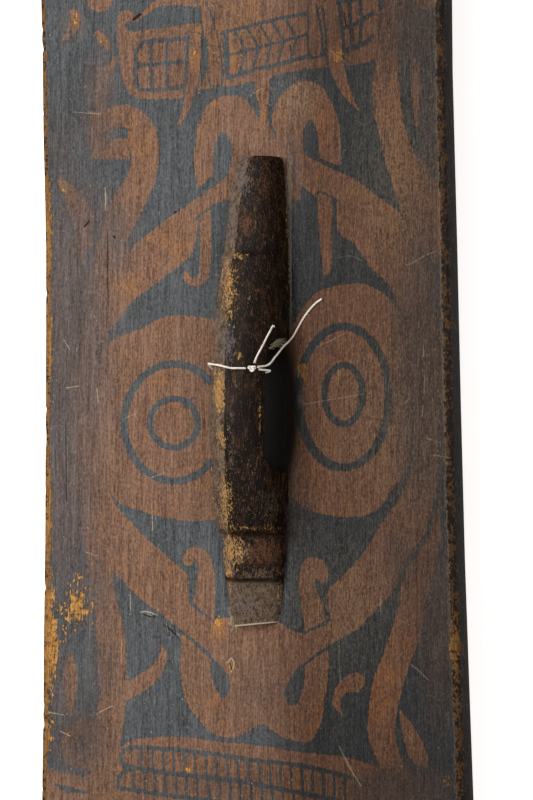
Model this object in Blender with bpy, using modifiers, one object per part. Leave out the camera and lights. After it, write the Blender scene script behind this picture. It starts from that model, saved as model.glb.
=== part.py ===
"""A long wooden war shield from Borneo, lying on its outer face with the hand side up.

The board is one plank folded along a keel, and its handle stands out of the same block, with a
finger hole through it. A thin string is tied round the grip. Lengths are in metres, +Y runs along
the shield to its upper end, +Z is up, and the origin is under the middle, on the keel's flat.
"""
import math

import bmesh
import bpy
import numpy as np
from mathutils import Matrix

MM = 0.001

# Board
BOARD_LENGTH = 1.200
BOARD_HALF_WIDTH = 0.2000
BOARD_THICKNESS = 0.0150
TIP_HALF_WIDTH = 0.0200
FOLD_ANGLE = math.radians(14.0)
VALLEY_SOFTNESS = 0.0120
KEEL_FLAT_DEPTH = 0.0012
RIM_ROUNDING = 0.0016

# Handle
HANDLE_LENGTH = 0.3920
HANDLE_HALF_WIDTH = 0.0270
HANDLE_HEIGHT = 0.0580
HANDLE_ROUNDING = 0.0012
HANDLE_ROOT = 0.0080
FLANK_ROUNDNESS = 2.6
LOWER_END_SLANT = 0.13

# Finger hole, through the handle from side to side
GRIP_THICKNESS = 0.0200
HOLE_LENGTH_AT_BOARD = 0.1170
HOLE_LENGTH_AT_GRIP = 0.0910
HOLE_CENTRE = -0.0135
HOLE_ROUNDING = 0.0120
HOLE_ROUNDING_STEPS = 5

# String
STRING_DIAMETER = 0.0018
TOUCHING_GAP = 0.0003
KNOT_LENGTH = 0.0074
KNOT_WIDTH = 0.0054
KNOT_HEIGHT = 0.0042
KNOT_TILT = math.radians(25)
KNOT_SHARE = 0.58
STRING_Y = 0.0183
STRING_UNDER_GRIP_Y = 0.0155
STRING_SLACK = 0.0022
STRING_LIFT = 0.0006
STRING_SAG = 0.0014
# The string's places round the right flank, from 0 at the crown to 1 at the board.
LOOP_LEAVES_HOLE_SHARE = 0.86
LOOP_BEND_SHARE = 0.83
LOOP_UP_FLANK_SHARE = 0.78
LOOP_END_SHARE = 0.70

# The plan outline, hand-cut and not quite even: place along the half length, then the left and
# the right edge's distance from the valley line, as shares of the board's half width.
OUTLINE = (
    (-0.630, 0.904, 1.015),
    (-0.563, 0.905, 1.006),
    (-0.433, 0.906, 0.983),
    (-0.227, 0.908, 0.948),
    (-0.013, 0.914, 0.918),
    (0.198, 0.923, 0.891),
    (0.333, 0.936, 0.872),
    (0.433, 0.945, 0.858),
    (0.548, 0.956, 0.849),
    (0.625, 0.960, 0.845),
)
BULGE_OF_TAPER = 0.045
TAPER_STEPS = 7

# The handle's sections: place along its half length, then the half width, the left shoulder's
# height, the crown's height and the crown's offset to the left, as shares of the handle's own half
# width and height. The upper end is blunt, the grip stands a step higher, and below a second
# step and a broken flake the lower end thins to a wedge.
HANDLE_SECTIONS = (
    (1.000, 0.56, 0.30, 0.38, 0.00),
    (0.975, 0.66, 0.34, 0.45, 0.10),
    (0.930, 0.71, 0.38, 0.50, 0.16),
    (0.790, 0.80, 0.46, 0.59, 0.28),
    (0.590, 0.90, 0.47, 0.66, 0.35),
    (0.565, 0.92, 0.58, 0.73, 0.38),
    (0.390, 0.97, 0.64, 0.84, 0.40),
    (0.130, 0.98, 0.77, 0.96, 0.34),
    (-0.150, 0.99, 0.81, 1.00, 0.30),
    (-0.420, 1.00, 0.66, 0.87, 0.34),
    (-0.575, 1.00, 0.52, 0.73, 0.38),
    (-0.597, 0.99, 0.48, 0.69, 0.40),
    (-0.612, 0.98, 0.36, 0.49, 0.46),
    (-0.720, 0.97, 0.33, 0.44, 0.46),
    (-0.800, 0.93, 0.30, 0.39, 0.44),
    (-0.812, 0.92, 0.24, 0.31, 0.42),
    (-0.900, 0.86, 0.19, 0.24, 0.36),
    (-0.960, 0.78, 0.15, 0.19, 0.30),
    (-1.000, 0.72, 0.12, 0.15, 0.26),
)
FLANK_STEPS = 9
ROWS_BETWEEN_SECTIONS = 3

# The string's short end on the handle: place along the handle in millimetres above the knot,
# and how far it lies round the flank, from 0 at the crown to 1 at the board.
SHORT_TAIL = (
    (4.6, 0.630),
    (8.5, 0.655),
    (14.0, 0.705),
    (20.0, 0.760),
    (26.0, 0.805),
    (31.0, 0.845),
    (34.0, 0.865),
    (35.4, 0.872),
    (34.9, 0.895),
)
# The long end goes round the flank and down to the board, and then lies on the board: places
# across and along in millimetres, from the handle's foot and from the knot, and its lift.
LONG_TAIL_ON_FLANK = (
    (2.0, 0.770),
    (2.6, 0.815),
    (4.6, 0.860),
    (8.4, 0.895),
    (13.6, 0.940),
    (19.2, 0.975),
)
LONG_TAIL_ON_BOARD = (
    (1.9, 23.4, 4.6),
    (4.0, 27.4, 1.3),
    (8.2, 34.6, 0.1),
    (13.5, 42.6, 0.0),
    (20.0, 50.0, 0.0),
    (26.5, 55.6, 0.0),
    (31.5, 58.4, 0.0),
)
TAIL_POINT_SPACING = 2.2


def remove_everything():
    """Empty the scene that the script is run in."""
    for found in list(bpy.data.objects):
        bpy.data.objects.remove(found, do_unlink=True)


def new_collection(name):
    made = bpy.data.collections.new(name)
    bpy.context.scene.collection.children.link(made)
    return made


def new_material(name, colour, roughness):
    made = bpy.data.materials.new(name)
    made.use_nodes = True
    shader = made.node_tree.nodes["Principled BSDF"]
    shader.inputs["Base Color"].default_value = (*colour, 1.0)
    shader.inputs["Roughness"].default_value = roughness
    shader.inputs["Metallic"].default_value = 0.0
    made.diffuse_color = (*colour, 1.0)
    return made


def add_object(name, data, collection, material=None):
    made = bpy.data.objects.new(name, data)
    collection.objects.link(made)
    if material is not None:
        data.materials.append(material)
    return made


def make_guide(piece):
    """A guide shapes another piece and isn't a piece itself."""
    piece.hide_render = True
    piece.display_type = "WIRE"


def boolean(piece, operation, other):
    cut = piece.modifiers.new(f"{operation.lower()} {other.name}", "BOOLEAN")
    cut.operation = operation
    cut.solver = "EXACT"
    cut.object = other


def valley_floor():
    """The height of the hand side's valley above the flat that the shield lies on."""
    return BOARD_THICKNESS - KEEL_FLAT_DEPTH


def rise(x):
    """How far the hand side rises above its valley at a distance x from it."""
    return math.tan(FOLD_ANGLE) * (math.hypot(x, VALLEY_SOFTNESS) - VALLEY_SOFTNESS)


def outline_rows():
    """Rows of (along, left, right) down the whole board, with a tapering point at each end."""
    half = BOARD_LENGTH / 2
    body = []
    for along, left, right in OUTLINE:
        body.append((along * half, left * BOARD_HALF_WIDTH, right * BOARD_HALF_WIDTH))
    rows = list(body)
    for (along, left, right), tip in ((body[0], -half), (body[-1], half)):
        for step in range(1, TAPER_STEPS + 1):
            share = step / TAPER_STEPS
            bulge = BULGE_OF_TAPER * BOARD_HALF_WIDTH * math.sin(math.pi * share)
            rows.append(
                (
                    along + (tip - along) * share,
                    left + (TIP_HALF_WIDTH - left) * share + bulge,
                    right + (TIP_HALF_WIDTH - right) * share + bulge,
                )
            )
    return sorted(rows)


def across_shares():
    """Column places from the left edge to the right, close together where the valley bends."""
    right = [0.0, 0.03, 0.065, 0.11, 0.17, 0.27, 0.45, 0.72, 1.0]
    return [-share for share in reversed(right[1:])] + right


def valley_x():
    """The valley line's place across, with the origin midway between the widest places."""
    rows = outline_rows()
    return (max(row[1] for row in rows) - max(row[2] for row in rows)) / 2


def board_surface(name, collection, material):
    """The board's hand side as a grid, thickened downwards, with its keel planed to a flat."""
    rows = outline_rows()
    shares = across_shares()
    bm = bmesh.new()
    bmesh.ops.create_grid(bm, x_segments=len(shares) - 1, y_segments=len(rows) - 1, size=1.0)
    bm.verts.ensure_lookup_table()
    for index, vert in enumerate(bm.verts):
        along, left, right = rows[index // len(shares)]
        share = shares[index % len(shares)]
        x = share * (left if share < 0 else right)
        vert.co = (x, along, valley_floor() + rise(x))
    mesh = bpy.data.meshes.new(name)
    bm.to_mesh(mesh)
    bm.free()
    board = add_object(name, mesh, collection, material)
    wall = board.modifiers.new("plank thickness", "SOLIDIFY")
    wall.thickness = BOARD_THICKNESS
    wall.offset = -1.0
    wall.use_even_offset = True
    rim = board.modifiers.new("worn rim", "BEVEL")
    rim.width = RIM_ROUNDING
    rim.segments = 2
    rim.limit_method = "ANGLE"
    rim.angle_limit = math.radians(50)
    return board


def below_floor_block(name, collection):
    """A block under the height of the floor, which takes the keel's sharp edge off."""
    bpy.ops.mesh.primitive_cube_add(size=1.0)
    block = bpy.context.object
    block.name = name
    block.scale = (4 * BOARD_HALF_WIDTH, 1.2 * BOARD_LENGTH, BOARD_THICKNESS)
    block.location = (0.0, 0.0, -BOARD_THICKNESS / 2)
    for held_in in list(block.users_collection):
        held_in.objects.unlink(block)
    collection.objects.link(block)
    make_guide(block)
    return block


def handle_values(y):
    """The handle's half width, shoulder height, crown height and crown offset at a place along."""
    share = y / (HANDLE_LENGTH / 2)
    table = np.array(sorted(HANDLE_SECTIONS))
    half, shoulder, crown, offset = (np.interp(share, table[:, 0], table[:, k]) for k in range(1, 5))
    return (
        half * HANDLE_HALF_WIDTH,
        shoulder * HANDLE_HEIGHT,
        crown * HANDLE_HEIGHT,
        -offset * HANDLE_HALF_WIDTH,
    )


def flank_point(y, share):
    """A point (x, z) of the rounded right flank, from 0 at the crown to 1 at the foot."""
    half, _, crown, crown_x = handle_values(y)
    fall = (1 - share**FLANK_ROUNDNESS) ** (1 / FLANK_ROUNDNESS)
    return crown_x + share * (half - crown_x), crown * fall


def flank_shares():
    """Places down the flank, closer together where it turns down."""
    return [math.sin(math.pi / 2 * step / FLANK_STEPS) for step in range(1, FLANK_STEPS + 1)]


def handle_ring(y):
    """The handle's section at a place along, as (x, z) from the left foot over to the right."""
    half, shoulder, crown, crown_x = handle_values(y)
    ring = [(-half, -HANDLE_ROOT), (-half, shoulder), (crown_x, crown)]
    ring += [flank_point(y, share) for share in flank_shares()]
    ring.append((half, -HANDLE_ROOT))
    return ring


def handle_places():
    """Places along the handle: every named section, and a few between each two."""
    named = sorted(row[0] for row in HANDLE_SECTIONS)
    places = []
    for low, high in zip(named, named[1:]):
        places += list(np.linspace(low, high, ROWS_BETWEEN_SECTIONS + 1)[:-1])
    return [share * HANDLE_LENGTH / 2 for share in places + [named[-1]]]


def handle_block(name, collection):
    """The handle's solid form, lofted through its sections and sunk a little into the board."""
    bm = bmesh.new()
    rings = []
    for y in handle_places():
        slant = LOWER_END_SLANT * max(0.0, -y / (HANDLE_LENGTH / 2)) ** 8
        ring = []
        for x, z in handle_ring(y):
            ring.append(bm.verts.new((x, y + slant * x, valley_floor() + z)))
        rings.append(ring)
    count = len(rings[0])
    for near, far in zip(rings, rings[1:]):
        for k in range(count):
            after = (k + 1) % count
            bm.faces.new((near[k], near[after], far[after], far[k]))
    bm.faces.new(rings[0])
    bm.faces.new(reversed(rings[-1]))
    bmesh.ops.recalc_face_normals(bm, faces=bm.faces)
    mesh = bpy.data.meshes.new(name)
    bm.to_mesh(mesh)
    bm.free()
    block = add_object(name, mesh, collection)
    rounding = block.modifiers.new("hand-worn edges", "BEVEL")
    rounding.width = HANDLE_ROUNDING
    rounding.segments = 2
    rounding.limit_method = "ANGLE"
    rounding.angle_limit = math.radians(28)
    make_guide(block)
    return block


def rounded_outline(corners, radius, steps):
    """The corners of a convex outline, each turned into an arc of the given radius."""
    points = []
    for k, corner in enumerate(corners):
        here = np.array(corner)
        back = np.array(corners[k - 1]) - here
        ahead = np.array(corners[(k + 1) % len(corners)]) - here
        back /= np.linalg.norm(back)
        ahead /= np.linalg.norm(ahead)
        half_angle = math.acos(np.clip(back @ ahead, -1, 1)) / 2
        inwards = (back + ahead) / np.linalg.norm(back + ahead)
        centre = here + inwards * radius / math.sin(half_angle)
        start = here + back * radius / math.tan(half_angle) - centre
        end = here + ahead * radius / math.tan(half_angle) - centre
        turn = math.pi - 2 * half_angle
        for step in range(steps + 1):
            share = step / steps
            mix = math.sin((1 - share) * turn) * start + math.sin(share * turn) * end
            points.append(centre + mix / math.sin(turn))
    return points


def hole_ceiling():
    """The underside of the grip, above the valley floor."""
    return HANDLE_HEIGHT - GRIP_THICKNESS


def finger_hole(name, collection):
    """The finger hole's prism, from side to side, longer at the board than at the grip."""
    low, high = -HANDLE_ROOT * 1.5, hole_ceiling()
    at_low = HOLE_LENGTH_AT_BOARD / 2
    at_high = HOLE_LENGTH_AT_GRIP / 2
    corners = (
        (HOLE_CENTRE - at_low, low),
        (HOLE_CENTRE + at_low, low),
        (HOLE_CENTRE + at_high, high),
        (HOLE_CENTRE - at_high, high),
    )
    outline = rounded_outline(corners, HOLE_ROUNDING, HOLE_ROUNDING_STEPS)
    curve = bpy.data.curves.new(name, "CURVE")
    curve.dimensions = "2D"
    curve.fill_mode = "BOTH"
    curve.extrude = 2 * HANDLE_HALF_WIDTH
    spline = curve.splines.new("POLY")
    spline.points.add(len(outline) - 1)
    for point, (y, z) in zip(spline.points, outline):
        point.co = (y, z, 0.0, 1.0)
    spline.use_cyclic_u = True
    drawn = add_object(f"{name}_outline", curve, collection)
    bpy.context.view_layer.update()
    mesh = bpy.data.meshes.new_from_object(drawn.evaluated_get(bpy.context.evaluated_depsgraph_get()))
    mesh.name = name
    bpy.data.objects.remove(drawn, do_unlink=True)
    # The outline is drawn in (y, z), so its plane is turned to face along X.
    mesh.transform(Matrix(((0, 0, 1, 0), (1, 0, 0, 0), (0, 1, 0, valley_floor()), (0, 0, 0, 1))))
    bm = bmesh.new()
    bm.from_mesh(mesh)
    bmesh.ops.remove_doubles(bm, verts=bm.verts, dist=0.00001)
    bmesh.ops.recalc_face_normals(bm, faces=bm.faces)
    bm.to_mesh(mesh)
    bm.free()
    cutter = add_object(name, mesh, collection)
    make_guide(cutter)
    return cutter


def string_radius():
    return STRING_DIAMETER / 2


def offset_from_flank(y, share, away):
    """A point (x, y, z) at a distance out from the right flank, z from the valley floor."""
    x, z = flank_point(y, share)
    step = 0.002
    before = np.array(flank_point(y, share - step))
    after = np.array(flank_point(y, min(1.0, share + step)))
    run = after - before
    run /= np.linalg.norm(run)
    return np.array([x - run[1] * away, y, z + run[0] * away])


def smooth_route(points, spacing):
    """A smooth curve through hand-chosen points, read at even steps of about the spacing."""
    line = np.array([points[0], *points, points[-1]], float)
    read = []
    for k in range(1, len(line) - 2):
        a, b, c, d = line[k - 1 : k + 3]
        for t in np.linspace(0, 1, 24, endpoint=False):
            bend = (2 * a - 5 * b + 4 * c - d) * t**2
            twist = (3 * b - a - 3 * c + d) * t**3
            read.append(0.5 * (2 * b + (c - a) * t + bend + twist))
    read.append(line[-1])
    read = np.array(read)
    along = np.concatenate([[0], np.cumsum(np.linalg.norm(np.diff(read, axis=0), axis=1))])
    at = np.linspace(0, along[-1], max(2, round(along[-1] / spacing) + 1))
    return np.stack([np.interp(at, along, read[:, k]) for k in range(3)], axis=1)


def tube(name, route, collection, material):
    """A string of the stated diameter along a route, with closed ends."""
    curve = bpy.data.curves.new(name, "CURVE")
    curve.dimensions = "3D"
    curve.bevel_depth = string_radius()
    curve.bevel_resolution = 2
    curve.use_fill_caps = True
    spline = curve.splines.new("POLY")
    spline.points.add(len(route) - 1)
    for point, (x, y, z) in zip(spline.points, route):
        point.co = (x, y, z, 1.0)
    return add_object(name, curve, collection, material)


def in_place(route):
    """A route measured from the valley line and floor, moved to the shield's own origin."""
    return np.array(route) + np.array([valley_x(), 0.0, valley_floor()])


def knot_centre():
    """The knot's centre, measured from the valley: on the grip, near its right edge."""
    return offset_from_flank(STRING_Y, KNOT_SHARE, KNOT_HEIGHT / 2 + TOUCHING_GAP)


def loop_route():
    """The string's way round the grip: left over the crown, down, through the hole and back up."""
    away = string_radius() + TOUCHING_GAP
    slack = away + STRING_SLACK
    top, under = STRING_Y, STRING_UNDER_GRIP_Y
    half, shoulder, crown, crown_x = handle_values(top)
    ceiling = hole_ceiling()
    knot = knot_centre()
    middle = (top + under) / 2
    left_share = KNOT_SHARE - (KNOT_LENGTH / 2 + TOUCHING_GAP) / (half - crown_x)
    right_low = flank_point(under, LOOP_LEAVES_HOLE_SHARE)
    below = ceiling - away - STRING_SAG
    points = [
        offset_from_flank(top, left_share, away + STRING_LIFT),
        offset_from_flank(top, 0.66 * left_share, away + STRING_LIFT),
        offset_from_flank(top, 0.33 * left_share, away + STRING_LIFT),
        (crown_x, top + 1.2 * MM, crown + away + STRING_LIFT),
        (
            crown_x - 0.4 * (half + crown_x),
            top + 2.4 * MM,
            crown - 0.4 * (crown - shoulder) + away + STRING_LIFT,
        ),
        (-half + 0.6 * MM, top + 3.4 * MM, shoulder + slack),
        (-half - slack, top + 3.6 * MM, shoulder - 1.0 * MM),
        (-half - slack, top + 2.0 * MM, 0.5 * (shoulder + ceiling)),
        (-half - away - 0.3 * MM, middle, ceiling + 0.3 * MM),
        (-half + 1.5 * MM, under, below + 0.5 * STRING_SAG),
        (-0.5 * half, under, below),
        (0.0, under, below),
        (0.5 * half, under, below),
        (right_low[0] - 2.0 * MM, under, below + 0.5 * STRING_SAG),
        (right_low[0] + away + 1.0 * MM, under + 1.0 * MM, ceiling + 0.3 * MM),
        offset_from_flank(middle, LOOP_BEND_SHARE, away + STRING_LIFT),
        offset_from_flank(top - 1.2 * MM, LOOP_UP_FLANK_SHARE, away + STRING_LIFT),
    ]
    last = offset_from_flank(top - 0.8 * MM, LOOP_END_SHARE, away + STRING_LIFT)
    points.append((knot[0] + KNOT_LENGTH / 2 + TOUCHING_GAP, last[1], min(last[2], knot[2])))
    return points


def knot(name, collection, material):
    """The plain closed solid of the string's knot."""
    bpy.ops.mesh.primitive_uv_sphere_add(segments=16, ring_count=8, radius=0.5)
    made = bpy.context.object
    made.name = name
    made.scale = (KNOT_LENGTH, KNOT_WIDTH, KNOT_HEIGHT)
    made.location = in_place([knot_centre()])[0]
    made.rotation_euler = (0.0, KNOT_TILT, 0.0)
    for held_in in list(made.users_collection):
        held_in.objects.unlink(made)
    collection.objects.link(made)
    made.data.materials.append(material)
    made.data.shade_smooth()
    return made


def short_tail_route():
    away = string_radius() + TOUCHING_GAP
    return [offset_from_flank(STRING_Y + up * MM, share, away) for up, share in SHORT_TAIL]


def long_tail_route():
    away = string_radius() + TOUCHING_GAP
    start = knot_centre() + np.array([KNOT_LENGTH / 2 + 2 * TOUCHING_GAP + string_radius(), 1.2 * MM, 0.0])
    route = [start]
    for up, share in LONG_TAIL_ON_FLANK:
        route.append(offset_from_flank(STRING_Y + up * MM, share, away + STRING_LIFT))
    foot = handle_values(STRING_Y)[0]
    for across, up, lift in LONG_TAIL_ON_BOARD:
        x = foot + across * MM
        z = rise(x) + away / math.cos(FOLD_ANGLE) + lift * MM
        route.append(np.array([x, STRING_Y + up * MM, z]))
    return route


def main():
    remove_everything()
    pieces = new_collection("Dayak war shield")
    guides = new_collection("Guides and cutters")
    wood = new_material("Painted jelutong wood", (0.16, 0.085, 0.055), 0.62)
    string = new_material("Undyed cotton string", (0.83, 0.78, 0.70), 0.85)

    shift = (valley_x(), 0.0, 0.0)
    block = handle_block("handle_block", guides)
    hole = finger_hole("finger_hole", guides)
    boolean(block, "DIFFERENCE", hole)
    shield = board_surface("shield", pieces, wood)
    boolean(shield, "DIFFERENCE", below_floor_block("floor_block", guides))
    boolean(shield, "UNION", block)
    for moved in (shield, block, hole):
        moved.location = shift

    loop = smooth_route(in_place(loop_route()), TAIL_POINT_SPACING * MM)
    tube("tie_loop", loop, pieces, string)
    knot("tie_knot", pieces, string)
    short = smooth_route(in_place(short_tail_route()), TAIL_POINT_SPACING * MM)
    tube("tie_tail_short", short, pieces, string)
    long = smooth_route(in_place(long_tail_route()), TAIL_POINT_SPACING * MM)
    tube("tie_tail_long", long, pieces, string)


main()
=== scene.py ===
"""A Dayak war shield from Borneo, lying on its outer face with the painted hand side up.

The board and its handle are carved from one block, and a thin string is tied round the grip.
Lengths are in metres, and names that end in _px are places in the photograph, which is taken to
be 533 x 800 pixels. +Y runs along the shield to its upper end and +Z is up.
"""
import logging
import math
from dataclasses import dataclass
from enum import Enum

import bmesh
import bpy
import numpy as np
from mathutils import Matrix, Vector
from mathutils.bvhtree import BVHTree
from mathutils.geometry import delaunay_2d_cdt

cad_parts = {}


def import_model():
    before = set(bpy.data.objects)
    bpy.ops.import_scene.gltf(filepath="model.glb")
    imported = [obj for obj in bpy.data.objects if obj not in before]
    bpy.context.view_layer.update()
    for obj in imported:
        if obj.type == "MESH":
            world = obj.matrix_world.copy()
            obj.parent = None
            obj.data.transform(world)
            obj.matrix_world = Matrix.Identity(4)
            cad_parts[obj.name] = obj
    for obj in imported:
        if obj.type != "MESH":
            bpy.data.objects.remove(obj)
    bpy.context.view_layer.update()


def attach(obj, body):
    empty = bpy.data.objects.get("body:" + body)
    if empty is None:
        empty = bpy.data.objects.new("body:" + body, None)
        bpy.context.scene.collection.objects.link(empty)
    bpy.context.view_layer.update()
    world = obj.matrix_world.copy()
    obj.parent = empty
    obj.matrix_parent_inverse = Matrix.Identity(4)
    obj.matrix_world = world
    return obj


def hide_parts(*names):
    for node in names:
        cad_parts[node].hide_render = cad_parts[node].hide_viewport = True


LOG = logging.getLogger("war shield")
MM = 0.001
PHOTO_WIDTH, PHOTO_HEIGHT = 533, 800


class Paint(Enum):
    """The two paints of the ornament."""

    BROWN = 1.0
    BLUE = -1.0

    def area(self, *numbers: float) -> "Shape":
        """Give an area in this paint, from each point's x and y in turn."""
        return Shape(self, tuple(zip(numbers[::2], numbers[1::2])))

    def stroke(self, *numbers: float) -> "Shape":
        """Give a stroke in this paint, from each point's x, y and half width in turn."""
        return Shape(self, tuple(zip(numbers[::3], numbers[1::3], numbers[2::3])))


@dataclass(frozen=True)
class Lattice:
    """Smooth repeatable noise on a plane, from a table of seeded random numbers."""

    seed: int
    side: int = 64

    def at(self, across: np.ndarray, along: np.ndarray) -> np.ndarray:
        """Read the noise.

        Args:
            across: places one way, in cells.
            along: places the other way, in cells.

        Returns:
            A value from -1 to 1 for each place.
        """
        table = np.random.default_rng(self.seed).uniform(-1, 1, (self.side, self.side))
        across, along = np.broadcast_arrays(np.asarray(across, float), np.asarray(along, float))
        i, j = np.floor(across).astype(int), np.floor(along).astype(int)
        u, v = across - i, along - j
        u, v = u * u * (3 - 2 * u), v * v * (3 - 2 * v)
        side = self.side
        low = table[i % side, j % side] * (1 - u) + table[(i + 1) % side, j % side] * u
        high = table[i % side, (j + 1) % side] * (1 - u) + table[(i + 1) % side, (j + 1) % side] * u
        return low * (1 - v) + high * v


def smooth_line(points: np.ndarray, step: float, closed: bool = False) -> np.ndarray:
    """Draw a smooth curve through given points; a point given twice is a corner.

    Args:
        points: one row for each point, with any number of columns.
        step: the distance between the points of the result, measured in the first two columns.
        closed: whether the curve runs back to its first point.

    Returns:
        One row for each point of the curve.
    """
    line = np.asarray(points, float)
    ends = (line[-1:], line[:2]) if closed else (line[:1], line[-1:])
    line = np.concatenate([ends[0], line, ends[1]])
    parts = []
    for k in range(1, len(line) - 2):
        a, b, c, d = line[k - 1 : k + 3]
        count = max(1, math.ceil(np.linalg.norm((c - b)[:2]) / step))
        t = np.arange(count)[:, None] / count
        bend = (2 * a - 5 * b + 4 * c - d) * t**2
        twist = (3 * b - a - 3 * c + d) * t**3
        parts.append(0.5 * (2 * b + (c - a) * t + bend + twist))
    if not closed:
        parts.append(line[-2:-1])
    return np.concatenate(parts)


def line_normals(line: np.ndarray, closed: bool) -> np.ndarray:
    """Find the unit normals of a plane line.

    Args:
        line: (n, 2) points.
        closed: whether the line runs back to its first point.

    Returns:
        (n, 2) unit vectors square to the line.
    """
    if closed:
        run = np.roll(line, -1, axis=0) - np.roll(line, 1, axis=0)
    else:
        run = np.gradient(line, axis=0)
    run /= np.maximum(np.linalg.norm(run, axis=1, keepdims=True), 1e-9)
    return np.stack([run[:, 1], -run[:, 0]], axis=1)


def mesh_piece(name: str, places: np.ndarray, faces: list, closed: bool = True) -> bpy.types.Object:
    """Make a mesh object at the origin and link it to the scene.

    Args:
        name: the piece's name.
        places: (n, 3) places of the corners.
        faces: the corners of each face.
        closed: whether it is a closed form, shaded smooth with its faces turned outwards.

    Returns:
        The object.
    """
    mesh = bpy.data.meshes.new(name)
    mesh.from_pydata(np.asarray(places).tolist(), [], faces)
    mesh.validate()
    if closed:
        mesh.shade_smooth()
        turned = bmesh.new()
        turned.from_mesh(mesh)
        bmesh.ops.recalc_face_normals(turned, faces=turned.faces)
        turned.to_mesh(mesh)
        turned.free()
    piece = bpy.data.objects.new(name, mesh)
    bpy.context.scene.collection.objects.link(piece)
    return piece


def bands(starts: list | range, size: int) -> list:
    """Give the faces between rings of points, where each ring starts at one of the numbers."""
    return [(upper + k, lower + k, lower + (k + 1) % size, upper + (k + 1) % size)
            for upper, lower in zip(starts, starts[1:]) for k in range(size)]


def lengths_along(line: np.ndarray) -> np.ndarray:
    """Give how far along a line each of its points lies."""
    return np.concatenate([[0], np.cumsum(np.linalg.norm(np.diff(line, axis=0), axis=1))])


def baked(piece: bpy.types.Object, name: str) -> bpy.types.Object:
    """Turn a piece and its modifiers into a plain mesh, and delete the first one.

    Args:
        piece: the object with modifiers.
        name: the new object's name.

    Returns:
        The plain object.
    """
    bpy.context.view_layer.update()
    ready = piece.evaluated_get(bpy.context.evaluated_depsgraph_get())
    mesh = bpy.data.meshes.new_from_object(ready)
    bpy.data.objects.remove(piece, do_unlink=True)
    made = bpy.data.objects.new(name, mesh)
    mesh.name = name
    bpy.context.scene.collection.objects.link(made)
    return made


def combine(piece: bpy.types.Object, other: bpy.types.Object, how: str, name: str) -> bpy.types.Object:
    """Cut a closed piece with another, or join the two, and delete both.

    Args:
        piece: the object to change.
        other: the object that cuts or joins it.
        how: DIFFERENCE or UNION.
        name: the name of the result.

    Returns:
        The plain object.
    """
    step = piece.modifiers.new(how, "BOOLEAN")
    step.operation = how
    step.solver = "MANIFOLD"
    step.object = other
    made = baked(piece, name)
    bpy.data.objects.remove(other, do_unlink=True)
    return made


@dataclass(frozen=True)
class BoardForm:
    """The folded board's sizes, as the carver cut them."""

    length: float = 1.200
    half_width: float = 0.2000
    thickness: float = 0.0150
    tip_half_width: float = 0.0200
    fold: float = math.radians(14.0)
    softness: float = 0.0120
    keel_flat: float = 0.0012
    rim_rounding: float = 0.0012
    taper_bulge: float = 0.045
    taper_steps: int = 7
    outline: tuple = (
        (-0.630, 0.904, 1.015),
        (-0.563, 0.905, 1.006),
        (-0.433, 0.906, 0.983),
        (-0.227, 0.908, 0.948),
        (-0.013, 0.914, 0.918),
        (0.198, 0.923, 0.891),
        (0.333, 0.936, 0.872),
        (0.433, 0.945, 0.858),
        (0.548, 0.956, 0.849),
        (0.625, 0.960, 0.845),
    )

    def rows(self) -> np.ndarray:
        """Give rows of (along, left, right) down the whole board, with a taper at each end."""
        half = self.length / 2
        body = [(a * half, left * self.half_width, right * self.half_width)
                for a, left, right in self.outline]
        rows = list(body)
        for (along, left, right), tip in ((body[0], -half), (body[-1], half)):
            for step in range(1, self.taper_steps + 1):
                share = step / self.taper_steps
                bulge = self.taper_bulge * self.half_width * math.sin(math.pi * share)
                rows.append((
                    along + (tip - along) * share,
                    left + (self.tip_half_width - left) * share + bulge,
                    right + (self.tip_half_width - right) * share + bulge,
                ))
        return np.array(sorted(rows))

    @property
    def floor(self) -> float:
        """The height of the hand side's valley above the flat that the shield lies on."""
        return self.thickness - self.keel_flat

    @property
    def valley_x(self) -> float:
        """The valley line's place across."""
        rows = self.rows()
        return float(rows[:, 1].max() - rows[:, 2].max()) / 2

    def rise(self, x: np.ndarray) -> np.ndarray:
        """How far the hand side rises above its valley at a distance x from it."""
        return math.tan(self.fold) * (np.hypot(x, self.softness) - self.softness)

    def slope(self, x: np.ndarray) -> np.ndarray:
        """The hand side's slope across at a distance x from the valley."""
        return math.tan(self.fold) * x / np.hypot(x, self.softness)


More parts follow.
